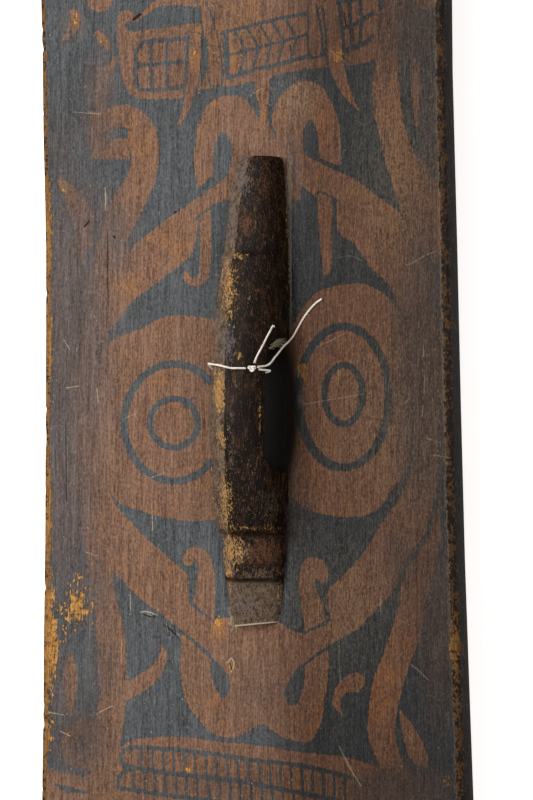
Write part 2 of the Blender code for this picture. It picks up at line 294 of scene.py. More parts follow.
@dataclass(frozen=True)
class PhotoView:
    """The camera of the photograph: its side lean, distance and framing."""

    board: BoardForm
    lean: float = math.radians(23.2)
    turn: float = math.radians(0.804)
    distance: float = 2.4
    focal_px: float = 2856.0
    valley_px: tuple = (262.0, 400.0)
    aim_y: float = -0.0076
    sensor: float = 24.0
    passes: int = 12

    def axes(self) -> np.ndarray:
        """Give the rows right, up and back of the camera."""
        level = np.array([math.cos(self.lean), 0.0, -math.sin(self.lean)])
        up = np.array([0.0, 1.0, 0.0])
        c, s = math.cos(self.turn), math.sin(self.turn)
        back = np.array([math.sin(self.lean), 0.0, math.cos(self.lean)])
        return np.array([level * c + up * s, up * c - level * s, back])

    def place(self) -> np.ndarray:
        """Give the camera's place, in the object's frame."""
        right, _, back = self.axes()
        aim = np.array([self.board.valley_x, self.aim_y, self.board.floor])
        aside = (PHOTO_WIDTH / 2 - self.valley_px[0]) * self.distance / self.focal_px
        return aim + right * aside + back * self.distance

    def to_photo(self, places: np.ndarray) -> np.ndarray:
        """Project places to the photograph.

        Args:
            places: (n, 3) places in the object's frame.

        Returns:
            (n, 2) pixels, y down.
        """
        seen = (np.asarray(places) - self.place()) @ self.axes().T
        scale = self.focal_px / -seen[:, 2]
        return np.stack([PHOTO_WIDTH / 2 + seen[:, 0] * scale, PHOTO_HEIGHT / 2 - seen[:, 1] * scale],
                        axis=1)

    def to_board(self, pixels: np.ndarray) -> np.ndarray:
        """Find the places on the board's hand side that pixels show.

        Args:
            pixels: (n, 2) pixels, y down.

        Returns:
            (n, 2) places in plan, in the object's frame.
        """
        pixels = np.asarray(pixels, float)
        right, up, back = self.axes()
        ray = (
            (pixels[:, :1] - PHOTO_WIDTH / 2) * right
            - (pixels[:, 1:2] - PHOTO_HEIGHT / 2) * up
            - self.focal_px * back
        )
        start = self.place()
        height = np.full(len(pixels), self.board.floor)
        for _ in range(self.passes):
            hit = start + ray * ((height - start[2]) / ray[:, 2])[:, None]
            height = self.board.floor + self.board.rise(hit[:, 0] - self.board.valley_x)
        return hit[:, :2]

    def build(self) -> None:
        """Make the camera and set it as the scene's."""
        data = bpy.data.cameras.new("photo view")
        data.sensor_fit = "VERTICAL"
        data.sensor_height = self.sensor
        data.lens = self.focal_px * self.sensor / PHOTO_HEIGHT
        data.clip_end = 20.0
        camera = bpy.data.objects.new("photo view", data)
        bpy.context.scene.collection.objects.link(camera)
        turn = Matrix(self.axes().T.tolist()).to_4x4()
        camera.matrix_world = Matrix.Translation(Vector(self.place())) @ turn
        bpy.context.scene.camera = camera


@dataclass(frozen=True)
class HandleForm:
    """The carved handle's sizes. Heights are measured from the board's valley floor."""

    length: float = 0.3920
    half_width: float = 0.0270
    height: float = 0.0580
    root: float = 0.0080
    roundness: float = 2.6
    end_slant: float = 0.13
    grip_thickness: float = 0.0200
    hole_at_board: float = 0.1170
    hole_at_grip: float = 0.0910
    hole_centre: float = -0.0135
    hole_rounding: float = 0.0120
    sections: tuple = (
        (1.000, 0.56, 0.30, 0.38, 0.00),
        (0.975, 0.66, 0.34, 0.45, 0.10),
        (0.930, 0.71, 0.38, 0.50, 0.16),
        (0.790, 0.80, 0.46, 0.59, 0.28),
        (0.590, 0.90, 0.47, 0.66, 0.35),
        (0.565, 0.92, 0.58, 0.73, 0.38),
        (0.390, 0.97, 0.64, 0.84, 0.40),
        (0.130, 0.98, 0.77, 0.96, 0.34),
        (-0.150, 0.99, 0.81, 1.00, 0.30),
        (-0.420, 1.00, 0.66, 0.87, 0.34),
        (-0.575, 1.00, 0.52, 0.73, 0.38),
        (-0.597, 0.99, 0.48, 0.69, 0.40),
        (-0.612, 0.98, 0.36, 0.49, 0.46),
        (-0.720, 0.97, 0.33, 0.44, 0.46),
        (-0.800, 0.93, 0.30, 0.39, 0.44),
        (-0.812, 0.92, 0.24, 0.31, 0.42),
        (-0.900, 0.86, 0.19, 0.24, 0.36),
        (-0.960, 0.78, 0.15, 0.19, 0.30),
        (-1.000, 0.72, 0.12, 0.15, 0.26),
    )

    def values(self, y: float) -> tuple[float, float, float, float]:
        """Read the sections at a place along.

        Args:
            y: the place along the handle.

        Returns:
            The half width, shoulder height, crown height and crown place across.
        """
        table = np.array(sorted(self.sections))
        share = y / (self.length / 2)
        half, shoulder, crown, offset = (np.interp(share, table[:, 0], table[:, k]) for k in range(1, 5))
        return (
            float(half * self.half_width),
            float(shoulder * self.height),
            float(crown * self.height),
            float(-offset * self.half_width),
        )

    def flank(self, y: float, share: float) -> tuple[float, float]:
        """Give a point (x, z) of the right flank, from 0 at the crown to 1 at the foot."""
        half, _, crown, crown_x = self.values(y)
        fall = max(0.0, 1 - share**self.roundness) ** (1 / self.roundness)
        return crown_x + share * (half - crown_x), crown * fall

    def off_flank(self, y: float, share: float, away: float) -> np.ndarray:
        """Give a point (x, y, z) at a distance out from the right flank."""
        x, z = self.flank(y, share)
        step = 0.002
        run = np.array(self.flank(y, min(1.0, share + step))) - np.array(self.flank(y, share - step))
        run /= np.linalg.norm(run)
        return np.array([x - run[1] * away, y, z + run[0] * away])

    @property
    def ceiling(self) -> float:
        """The underside of the grip."""
        return self.height - self.grip_thickness


@dataclass(frozen=True)
class Handle:
    """The handle: a lofted form with an arris, worn steps, a broken flake and a finger hole."""

    board: BoardForm
    form: HandleForm
    ring_points: int = 60
    flank_points: int = 24
    fine_points: int = 400
    row_spacing: float = 0.0026
    fine_spacing: float = 0.0009
    fine_rows: tuple = ((0.550, 0.605), (-0.640, -0.560), (-0.830, -0.790))
    arris_rounding: float = 0.0028
    hole_lip: float = 0.0030

    def rows(self) -> np.ndarray:
        """Places along the handle, closer together at its steps."""
        half = self.form.length / 2
        rows = list(np.arange(-half, half, self.row_spacing)) + [half]
        for low, high in self.fine_rows:
            rows = [y for y in rows if not low * half < y < high * half]
            rows += list(np.arange(low * half, high * half, self.fine_spacing))
        return np.array(sorted(rows))

    def ring(self, y: float) -> np.ndarray:
        """Draw one section, with its arrises worn round.

        Args:
            y: the place along the handle.

        Returns:
            (n, 2) points (x, z) from the left foot over the crown to the right foot.
        """
        half, shoulder, crown, crown_x = self.form.values(y)
        flank = [self.form.flank(y, math.sin(math.pi / 2 * k / self.flank_points))
                 for k in range(1, self.flank_points + 1)]
        line = np.array([(-half, -self.form.root), (-half, shoulder), (crown_x, crown), *flank,
                         (half, -self.form.root)])
        along = lengths_along(line)
        fine = np.linspace(0, along[-1], self.fine_points)
        dense = np.stack([np.interp(fine, along, line[:, k]) for k in (0, 1)], axis=1)
        width = max(3, int(self.arris_rounding / along[-1] * self.fine_points) | 1)
        padded = np.pad(dense, ((width // 2, width // 2), (0, 0)), mode="edge")
        box = np.ones(width) / width
        worn = np.stack([np.convolve(padded[:, k], box, mode="valid") for k in (0, 1)], axis=1)
        worn[0], worn[-1] = dense[0], dense[-1]
        pick = np.linspace(0, self.fine_points - 1, self.ring_points).round().astype(int)
        return worn[pick]

    def step_wobble(self, x: np.ndarray, y: float) -> np.ndarray:
        """How far the steps' and the flake's edges stray along the handle at places across."""
        share = y / (self.form.length / 2)
        at_flake = math.exp(-(((share + 0.605) / 0.05) ** 2))
        at_steps = math.exp(-(((share - 0.577) / 0.04) ** 2)) + math.exp(-(((share + 0.806) / 0.04) ** 2))
        rough = Lattice(11).at(x / (7 * MM), 0.5) + 0.6 * Lattice(12).at(x / (2.6 * MM), 0.5)
        return rough * MM * (3.2 * at_flake + 0.9 * at_steps)

    def block(self) -> bpy.types.Object:
        """Loft the handle's form, sunk a little into the board."""
        rings = []
        for y in self.rows():
            ring = self.ring(y)
            strayed = y + self.step_wobble(ring[:, 0], y)
            if np.abs(strayed - y).max() > 0.05 * MM:
                for k in range(1, len(ring) - 1):
                    ring[k] = self.ring(float(strayed[k]))[k]
            slant = self.form.end_slant * max(0.0, -y / (self.form.length / 2)) ** 8
            rings.append(np.column_stack([ring[:, 0], y + slant * ring[:, 0], ring[:, 1]]))
        places = self.tooled(np.array(rings))
        count, size = places.shape[:2]
        faces = bands(range(0, count * size, size), size)
        faces += [tuple(range(size)), tuple(reversed(range((count - 1) * size, count * size)))]
        places = places.reshape(-1, 3) + (self.board.valley_x, 0.0, self.board.floor)
        return mesh_piece("handle form", places, faces)

    def tooled(self, places: np.ndarray) -> np.ndarray:
        """Add the knife's flats and small dents, always into the wood.

        Args:
            places: (rows, points, 3) places of the loft.

        Returns:
            The places, moved.
        """
        around = np.gradient(places, axis=1)
        along = np.gradient(places, axis=0)
        normal = np.cross(along, around)
        normal /= np.maximum(np.linalg.norm(normal, axis=2, keepdims=True), 1e-9)
        middle = places.mean(axis=1, keepdims=True)
        normal *= np.sign(((places - middle) * normal).sum(axis=2, keepdims=True))
        arc = np.cumsum(np.linalg.norm(around, axis=2), axis=1)
        y = places[..., 1]
        flats = Lattice(21).at(arc / (9 * MM), y / (38 * MM))
        dents = Lattice(22).at(arc / (4 * MM), y / (7 * MM))
        depth = 0.35 * MM * (0.5 + 0.5 * flats) + 0.5 * MM * np.clip(dents - 0.55, 0, 1)
        low_end = 1 / (1 + np.exp((y / (self.form.length / 2) + 0.6) * 40))
        splinter = Lattice(23).at(arc / (2.2 * MM), y / (26 * MM))
        depth += low_end * 0.7 * MM * (0.5 + 0.5 * splinter)
        depth *= np.clip((places[..., 2] + 2 * MM) / (5 * MM), 0, 1)
        return places - normal * depth[..., None]

    def hole(self) -> bpy.types.Object:
        """Make the finger hole's cutter, whose mouths flare so that the lips come out rounded."""
        form = self.form
        low, high = -1.5 * form.root, form.ceiling
        corners = (
            (form.hole_centre - form.hole_at_board / 2, low),
            (form.hole_centre + form.hole_at_board / 2, low),
            (form.hole_centre + form.hole_at_grip / 2, high),
            (form.hole_centre - form.hole_at_grip / 2, high),
        )
        outline = rounded_corners(corners, form.hole_rounding, 9)
        outward = line_normals(outline, True)
        outward *= np.sign(((outline - outline.mean(axis=0)) * outward).sum())
        lip = self.hole_lip
        mouth = ((-6 * MM, lip), (0.0, lip), (0.12 * lip, 0.62 * lip), (0.4 * lip, 0.28 * lip),
                 (lip, 0.05 * lip), (1.8 * lip, 0.0))
        rings = []
        for on_left, steps in ((True, mouth), (False, mouth[::-1])):
            for depth, flare in steps:
                wider = outline + outward * flare
                x = []
                for y, z in wider:
                    half, _, crown, crown_x = form.values(float(y))
                    if on_left:
                        x.append(-half + depth)
                    else:
                        inner = min(1.0, max(0.0, z / crown)) ** form.roundness
                        x.append(crown_x + (1 - inner) ** (1 / form.roundness) * (half - crown_x) - depth)
                rings.append(np.column_stack([x, wider]))
        places = np.array(rings) + (self.board.valley_x, 0.0, self.board.floor)
        count, size = places.shape[:2]
        faces = [tuple(range(size)), tuple(reversed(range((count - 1) * size, count * size)))]
        faces += bands(range(0, count * size, size), size)
        return mesh_piece("finger hole", places.reshape(-1, 3), faces)

    def build(self) -> bpy.types.Object:
        """Make the handle with its finger hole."""
        return combine(self.block(), self.hole(), "DIFFERENCE", "handle with hole")


def rounded_corners(corners: tuple, radius: float, steps: int) -> np.ndarray:
    """Turn each corner of a convex outline into an arc.

    Args:
        corners: the corners in order.
        radius: the arcs' radius.
        steps: the number of steps in each arc.

    Returns:
        (n, 2) points.
    """
    points = []
    for k, corner in enumerate(corners):
        here = np.array(corner)
        back = np.array(corners[k - 1]) - here
        ahead = np.array(corners[(k + 1) % len(corners)]) - here
        back /= np.linalg.norm(back)
        ahead /= np.linalg.norm(ahead)
        half_angle = math.acos(np.clip(back @ ahead, -1, 1)) / 2
        inwards = (back + ahead) / np.linalg.norm(back + ahead)
        centre = here + inwards * radius / math.sin(half_angle)
        start = here + back * radius / math.tan(half_angle) - centre
        end = here + ahead * radius / math.tan(half_angle) - centre
        turn = math.pi - 2 * half_angle
        for step in range(steps + 1):
            share = step / steps
            mix = math.sin((1 - share) * turn) * start + math.sin(share * turn) * end
            points.append(centre + mix / math.sin(turn))
    return np.array(points)


@dataclass(frozen=True)
class Board:
    """The folded board: a fine hand side, a worn rim and a plain outer face."""

    form: BoardForm
    rim_step: float = 0.0030
    fine_grid: float = 0.0030
    coarse_grid: float = 0.0055
    under_grid: float = 0.0090
    seen_from: float = -0.352
    seen_to: float = 0.336
    margin: float = 0.0009
    nearest: float = 0.00055

    def outline(self) -> tuple[np.ndarray, np.ndarray]:
        """Walk round the plan outline.

        Returns:
            (n, 2) points measured from the valley line, and (n, 2) outward directions.
        """
        rows = self.form.rows()
        half = self.form.length / 2
        along = np.linspace(-half, half, round(self.form.length / self.rim_step) + 1)
        left = np.column_stack([-np.interp(along, rows[:, 0], rows[:, 1]), along])
        right = np.column_stack([np.interp(along, rows[:, 0], rows[:, 2]), along])
        tip = np.linspace(-self.form.tip_half_width, self.form.tip_half_width, 15)[1:-1]
        top = np.column_stack([tip, np.full(len(tip), half)])
        bottom = np.column_stack([tip[::-1], np.full(len(tip), -half)])
        line = np.concatenate([left, top, right[::-1], bottom])
        out = line_normals(line, True)
        out *= np.sign((line * out).sum())
        return line, out

    def rim_wear(self, line: np.ndarray) -> np.ndarray:
        """How far the upper arris is worn in at each point of the outline."""
        side = np.where(line[:, 0] < 0, 3.0, 17.0)
        slow = Lattice(31).at(side, line[:, 1] / (55 * MM))
        quick = Lattice(32).at(side, line[:, 1] / (9 * MM))
        return MM * (0.3 + 0.25 * slow + np.clip(quick - 0.45, 0, 1) * 3.0)

    def relief(self, x: np.ndarray, y: np.ndarray) -> np.ndarray:
        """The hand side's tool marks and warp, in metres, up to a quarter of a millimetre."""
        adze = Lattice(33).at(x / (16 * MM), y / (60 * MM))
        grain = Lattice(34).at(x / (3.4 * MM), y / (75 * MM))
        return MM * (0.16 * adze + 0.07 * grain)

    def plan_points(self, rows: np.ndarray, line: np.ndarray) -> np.ndarray:
        """Choose the hand side's points inside the outline.

        Args:
            rows: (n, 2) points along the painted edges, which come first.
            line: (n, 2) the worn outline.

        Returns:
            (n, 2) points, none nearer to another than about half a millimetre.
        """
        half = self.form.length / 2
        reach = self.form.half_width
        parts = [rows]
        for low, high, step in (
            (-half, self.seen_from, self.coarse_grid),
            (self.seen_from, self.seen_to, self.fine_grid),
            (self.seen_to, half, self.coarse_grid),
        ):
            ys = np.arange(low + step / 2, high, step * 0.866)
            xs = np.arange(-reach, reach, step)
            x, y = np.meshgrid(xs, ys)
            x[1::2] += step / 2
            parts.append(np.column_stack([x.ravel(), y.ravel()]))
        points = np.concatenate(parts)
        cells = np.round(points / self.nearest).astype(int)
        _, first = np.unique(cells, axis=0, return_index=True)
        points = points[np.sort(first)]
        low = np.interp(points[:, 1], *self.side_of(line, -1))
        high = np.interp(points[:, 1], *self.side_of(line, 1))
        inside = (points[:, 0] > low + self.margin) & (points[:, 0] < high - self.margin)
        return points[inside & (np.abs(points[:, 1]) < half - 2 * self.margin - 1.5 * MM)]

    def side_of(self, line: np.ndarray, side: int) -> tuple[np.ndarray, np.ndarray]:
        """Give one side of the outline as (along, across), in order along."""
        taken = line[np.sign(line[:, 0]) == side]
        taken = taken[np.argsort(taken[:, 1])]
        return taken[:, 1], taken[:, 0]

    def sheet(self, line: np.ndarray, inside: np.ndarray) -> tuple[np.ndarray, list]:
        """Triangulate the inside of a closed outline through chosen points.

        Args:
            line: (n, 2) the outline, which becomes the first n points.
            inside: (m, 2) points inside it.

        Returns:
            The plan points and the triangles.
        """
        points = np.concatenate([line, inside])
        edges = [(k, (k + 1) % len(line)) for k in range(len(line))]
        found = delaunay_2d_cdt([Vector(p) for p in points.tolist()], edges, [], 1, 1e-7)
        if len(found[0]) != len(points):
            raise ValueError("the outline crosses itself")
        return np.array([tuple(p) for p in found[0]]), [tuple(t) for t in found[2]]

    def build(self, rows: np.ndarray) -> bpy.types.Object:
        """Make the closed board.

        Args:
            rows: (n, 2) plan points along the painted edges, in the object's frame.

        Returns:
            The object.
        """
        form = self.form
        line, out = self.outline()
        wear = self.rim_wear(line)
        tilt = form.slope(line[:, 0])
        across = np.stack([-tilt, np.ones(len(tilt))], axis=1)
        across /= np.linalg.norm(across, axis=1, keepdims=True)
        surface = form.floor + form.rise(line[:, 0])
        rounding = form.rim_rounding
        rings = []
        for inset, depth in (
            (rounding, 0.0), (0.35 * rounding, 0.25 * rounding), (0.0, rounding),
            (0.0, 0.3 * form.thickness), (0.0, 0.6 * form.thickness), (0.0, form.thickness - rounding),
            (0.35 * rounding, form.thickness - 0.25 * rounding), (rounding, form.thickness),
        ):
            worn = inset + wear * max(0.0, 1 - depth / (0.45 * form.thickness))
            sink = depth + 0.4 * wear * max(0.0, 1 - depth / (0.3 * form.thickness))
            x = line[:, 0] - out[:, 0] * worn - across[:, 0] * sink
            y = line[:, 1] - out[:, 1] * worn
            z = surface - form.slope(line[:, 0]) * out[:, 0] * worn - across[:, 1] * sink
            rings.append(np.column_stack([x, y, np.maximum(z, 0.0)]))
        top_line = rings[0][:, :2]
        rows = rows - (form.valley_x, 0.0)
        plan, top_faces = self.sheet(top_line, self.plan_points(rows, top_line))
        count = len(line)
        relief = self.relief(plan[:, 0], plan[:, 1])
        top = np.column_stack([plan, form.floor + form.rise(plan[:, 0]) + relief])
        top[:count] = rings[0]
        under_line = rings[-1][:, :2]
        under = self.under_points(under_line)
        low_plan, low_faces = self.sheet(under_line, under)
        slope = form.slope(low_plan[:, 0])
        down = form.thickness * np.sqrt(1 + slope**2)
        low = np.column_stack([low_plan, np.maximum(form.floor + form.rise(low_plan[:, 0]) - down, 0.0)])
        low[:count] = rings[-1]
        middle = np.concatenate(rings[1:-1])
        places = np.concatenate([top, middle, low])
        start_middle, start_low = len(top), len(top) + len(middle)
        faces = list(top_faces)
        faces += [tuple(start_low + k for k in reversed(face)) for face in low_faces]
        starts = [0] + [start_middle + r * count for r in range(len(rings) - 2)] + [start_low]
        faces += bands(starts, count)
        places[:, 0] += form.valley_x
        return mesh_piece("board", places, faces)

    def under_points(self, line: np.ndarray) -> np.ndarray:
        """Choose the outer face's points, with rows along the keel's flat."""
        form = self.form
        half = form.length / 2
        step = self.under_grid
        xs, ys = np.meshgrid(np.arange(-form.half_width, form.half_width, step),
                             np.arange(-half + step, half - step / 2, step))
        points = np.column_stack([xs.ravel(), ys.ravel()])
        points = points[np.abs(points[:, 0]) > 0.9 * step]
        rows = np.arange(-half + step, half - step / 2, step)
        keel = [np.column_stack([np.full(len(rows), x * MM), rows]) for x in (-4, -2, 0, 2, 4)]
        points = np.concatenate([points, *keel])
        low = np.interp(points[:, 1], *self.side_of(line, -1))
        high = np.interp(points[:, 1], *self.side_of(line, 1))
        return points[(points[:, 0] > low + step / 3) & (points[:, 0] < high - step / 3)]


@dataclass(frozen=True)
class StringForm:
    """The string tied round the grip, and where it runs, as the frame has it."""

    board: BoardForm
    handle: HandleForm
    diameter: float = 0.0018
    gap: float = 0.0003
    knot_length: float = 0.0074
    knot_width: float = 0.0054
    knot_height: float = 0.0042
    knot_tilt: float = math.radians(25)
    knot_share: float = 0.58
    loop_y: float = 0.0183
    under_y: float = 0.0155
    slack: float = 0.0022
    lift: float = 0.0006
    sag: float = 0.0014
    spacing: float = 0.0022
    short_tail: tuple = (
        (4.6, 0.630), (8.5, 0.655), (14.0, 0.705), (20.0, 0.760), (26.0, 0.805),
        (31.0, 0.845), (34.0, 0.865), (35.4, 0.872), (34.9, 0.895),
    )
    long_tail_on_flank: tuple = (
        (2.0, 0.770), (2.6, 0.815), (4.6, 0.860), (8.4, 0.895), (13.6, 0.940), (19.2, 0.975),
    )
    long_tail_on_board: tuple = (
        (1.9, 23.4, 4.6), (4.0, 27.4, 1.3), (8.2, 34.6, 0.1), (13.5, 42.6, 0.0),
        (20.0, 50.0, 0.0), (26.5, 55.6, 0.0), (31.5, 58.4, 0.0),
    )

    @property
    def away(self) -> float:
        """The string's centreline above what it lies on."""
        return self.diameter / 2 + self.gap

    def knot(self) -> np.ndarray:
        """The knot's centre, measured from the valley."""
        return self.handle.off_flank(self.loop_y, self.knot_share, self.knot_height / 2 + self.gap)

    def in_place(self, route: list) -> np.ndarray:
        """Move a route measured from the valley to the object's frame."""
        return np.array(route) + (self.board.valley_x, 0.0, self.board.floor)

    def even(self, route: np.ndarray) -> np.ndarray:
        """Smooth a route and read it at even steps."""
        line = smooth_line(route, 0.0002)
        along = lengths_along(line)
        at = np.linspace(0, along[-1], max(2, round(along[-1] / self.spacing) + 1))
        return np.stack([np.interp(at, along, line[:, k]) for k in range(3)], axis=1)

    def loop(self) -> np.ndarray:
        """The string's way round the grip: left over the crown, down, through the hole and back."""
        handle, away, top, under = self.handle, self.away, self.loop_y, self.under_y
        slack, lift = away + self.slack, self.lift
        half, shoulder, crown, crown_x = handle.values(top)
        ceiling, knot = handle.ceiling, self.knot()
        middle = (top + under) / 2
        left_share = self.knot_share - (self.knot_length / 2 + self.gap) / (half - crown_x)
        right_low = handle.flank(under, 0.86)
        below = ceiling - away - self.sag
        points = [
            handle.off_flank(top, left_share, away + lift),
            handle.off_flank(top, 0.66 * left_share, away + lift),
            handle.off_flank(top, 0.33 * left_share, away + lift),
            (crown_x, top + 1.2 * MM, crown + away + lift),
            (crown_x - 0.4 * (half + crown_x), top + 2.4 * MM,
             crown - 0.4 * (crown - shoulder) + away + lift),
            (-half + 0.6 * MM, top + 3.4 * MM, shoulder + slack),
            (-half - slack, top + 3.6 * MM, shoulder - 1.0 * MM),
            (-half - slack, top + 2.0 * MM, 0.5 * (shoulder + ceiling)),
            (-half - away - 0.3 * MM, middle, ceiling + 0.3 * MM),
            (-half + 1.5 * MM, under, below + 0.5 * self.sag),
            (-0.5 * half, under, below),
            (0.0, under, below),
            (0.5 * half, under, below),
            (right_low[0] - 2.0 * MM, under, below + 0.5 * self.sag),
            (right_low[0] + away + 1.0 * MM, under + 1.0 * MM, ceiling + 0.3 * MM),
            handle.off_flank(middle, 0.83, away + lift),
            handle.off_flank(top - 1.2 * MM, 0.78, away + lift),
        ]
        last = handle.off_flank(top - 0.8 * MM, 0.70, away + lift)
        points.append((knot[0] + self.knot_length / 2 + self.gap, last[1], min(last[2], knot[2])))
        return self.even(self.in_place(points))

    def short_end(self) -> np.ndarray:
        """The short end, which lies on the grip."""
        points = [self.handle.off_flank(self.loop_y + up * MM, share, self.away)
                  for up, share in self.short_tail]
        return self.even(self.in_place(points))

    def long_end(self) -> np.ndarray:
        """The long end, which runs down the flank and lies on the board."""
        reach = self.knot_length / 2 + 2 * self.gap + self.diameter / 2
        route = [self.knot() + np.array([reach, 1.2 * MM, 0.0])]
        for up, share in self.long_tail_on_flank:
            route.append(self.handle.off_flank(self.loop_y + up * MM, share, self.away + self.lift))
        foot = self.handle.values(self.loop_y)[0]
        for across, up, lift in self.long_tail_on_board:
            x = foot + across * MM
            z = float(self.board.rise(x)) + self.away / math.cos(self.board.fold) + lift * MM
            route.append(np.array([x, self.loop_y + up * MM, z]))
        return self.even(self.in_place(route))

    def knot_line(self) -> np.ndarray:
        """The string's way through its knot: three bights, drawn together."""
        t = np.linspace(0, 2 * math.pi, 72, endpoint=False)
        line = np.stack([np.sin(t) + 2 * np.sin(2 * t), np.cos(t) - 2 * np.cos(2 * t), -np.sin(3 * t)],
                        axis=1)
        size = np.array([self.knot_length, self.knot_width, self.knot_height]) - self.diameter
        line *= size / np.ptp(line, axis=0)
        c, s = math.cos(self.knot_tilt), math.sin(self.knot_tilt)
        turn = np.array([[c, 0, s], [0, 1, 0], [-s, 0, c]])
        return line @ turn.T + self.in_place([self.knot()])[0]


class Kind(Enum):
    """The kinds of node: type, inputs in the order of the values given, output and usual settings."""

    FACT = ("ShaderNodeAttribute", (), "Fac", {})
    PLACE = ("ShaderNodeTexCoord", (), "Object", {})
    ACROSS = ("ShaderNodeSeparateXYZ", (0,), "X", {})
    SCALED = ("ShaderNodeMapping", ("Vector", "Scale"), 0, {"vector_type": "POINT"})
    NOISE = ("ShaderNodeTexNoise", ("Vector", "Scale", "Detail", "Roughness"), 0, {})
    MATH = ("ShaderNodeMath", (0, 1, 2), 0, {})
    RAMP = ("ShaderNodeMapRange", (0, 1, 2, 3, 4), 0, {"interpolation_type": "SMOOTHSTEP"})
    MIX = ("ShaderNodeMix", (0, 6, 7), 2, {"data_type": "RGBA"})
    VALUES = ("ShaderNodeMix", (0, 2, 3), 0, {})
    BUMP = ("ShaderNodeBump", ("Height", "Strength", "Distance"), 0, {})
    VECTORS = ("ShaderNodeVectorMath", (0, 1), 0, {})
    TIMES = ("ShaderNodeVectorMath", (0, "Scale"), 0, {"operation": "SCALE"})
    GIVEN = ("NodeGroupInput", (), None, {})
    EVEN = ("GeometryNodeResampleCurve", ("Curve", "Length"), 0, {"mode": "LENGTH"})
    TANGENT = ("GeometryNodeInputTangent", (), 0, {})
    NORMAL = ("GeometryNodeInputNormal", (), 0, {})
    ALONG = ("GeometryNodeSplineParameter", (), "Length", {})
    CIRCLE = ("GeometryNodeCurvePrimitiveCircle", ("Resolution", "Radius"), 0, {"mode": "RADIUS"})
    MOVED = ("GeometryNodeSetPosition", ("Geometry", "Offset"), 0, {})
    TUBE = ("GeometryNodeCurveToMesh", ("Curve", "Profile Curve", "Fill Caps"), 0, {})
    JOINED = ("GeometryNodeJoinGeometry", (), None, {})
    REAL = ("GeometryNodeRealizeInstances", (0,), 0, {})
    COATED = ("GeometryNodeSetMaterial", ("Geometry", "Material"), 0, {})
    RESULT = ("NodeGroupOutput", (0,), None, {})


@dataclass(frozen=True)
class NodeWriter:
    """Writes the nodes of one tree."""

    tree: bpy.types.NodeTree
    roughness: float = 0.62

    def feed(self, node: bpy.types.Node, values: dict) -> None:
        """Put a value, a hex colour or another node's output in each of a node's inputs.

        Args:
            node: the node.
            values: what goes in, by the input's name or number.

        Returns:
            Nothing.
        """
        for key, value in values.items():
            if isinstance(value, bpy.types.NodeSocket):
                self.tree.links.new(value, node.inputs[key])
            else:
                node.inputs[key].default_value = linear(value) if isinstance(value, str) else value

    def add(self, kind: Kind, *values: object, **settings: object) -> bpy.types.NodeSocket:
        """Add a node with its settings and links.

        Args:
            kind: the kind of node.
            values: what goes in its inputs, in the kind's order.
            settings: the node's own properties.

        Returns:
            The output that is used, or the node itself where its kind names none.
        """
        type_name, inputs, output, usual = kind.value
        node = self.tree.nodes.new(type_name)
        for name, value in {**usual, **settings}.items():
            setattr(node, name, value)
        self.feed(node, dict(zip(inputs, values)))
        return node if output is None else node.outputs[output]

    def total(self, parts: tuple, start: float = 0.0) -> bpy.types.NodeSocket:
        """Add up outputs, each times its weight, which may be an output too."""
        for value, weight in parts:
            start = self.add(Kind.MATH, value, weight, start, operation="MULTIPLY_ADD")
        return start

    def noise(self, sizes_mm: tuple, detail: float) -> bpy.types.NodeSocket:
        """Add noise fixed to the object, whose grains have a real size across, along and up."""
        scale = tuple(1000 / size for size in sizes_mm)
        place = self.add(Kind.SCALED, self.add(Kind.PLACE), scale)
        return self.add(Kind.NOISE, place, 1.0, detail, self.roughness)

    def facts(self, *names: str) -> dict:
        """Read some of the mesh's own values, which the shield's build has written there."""
        return {name: self.add(Kind.FACT, attribute_name=name) for name in names}


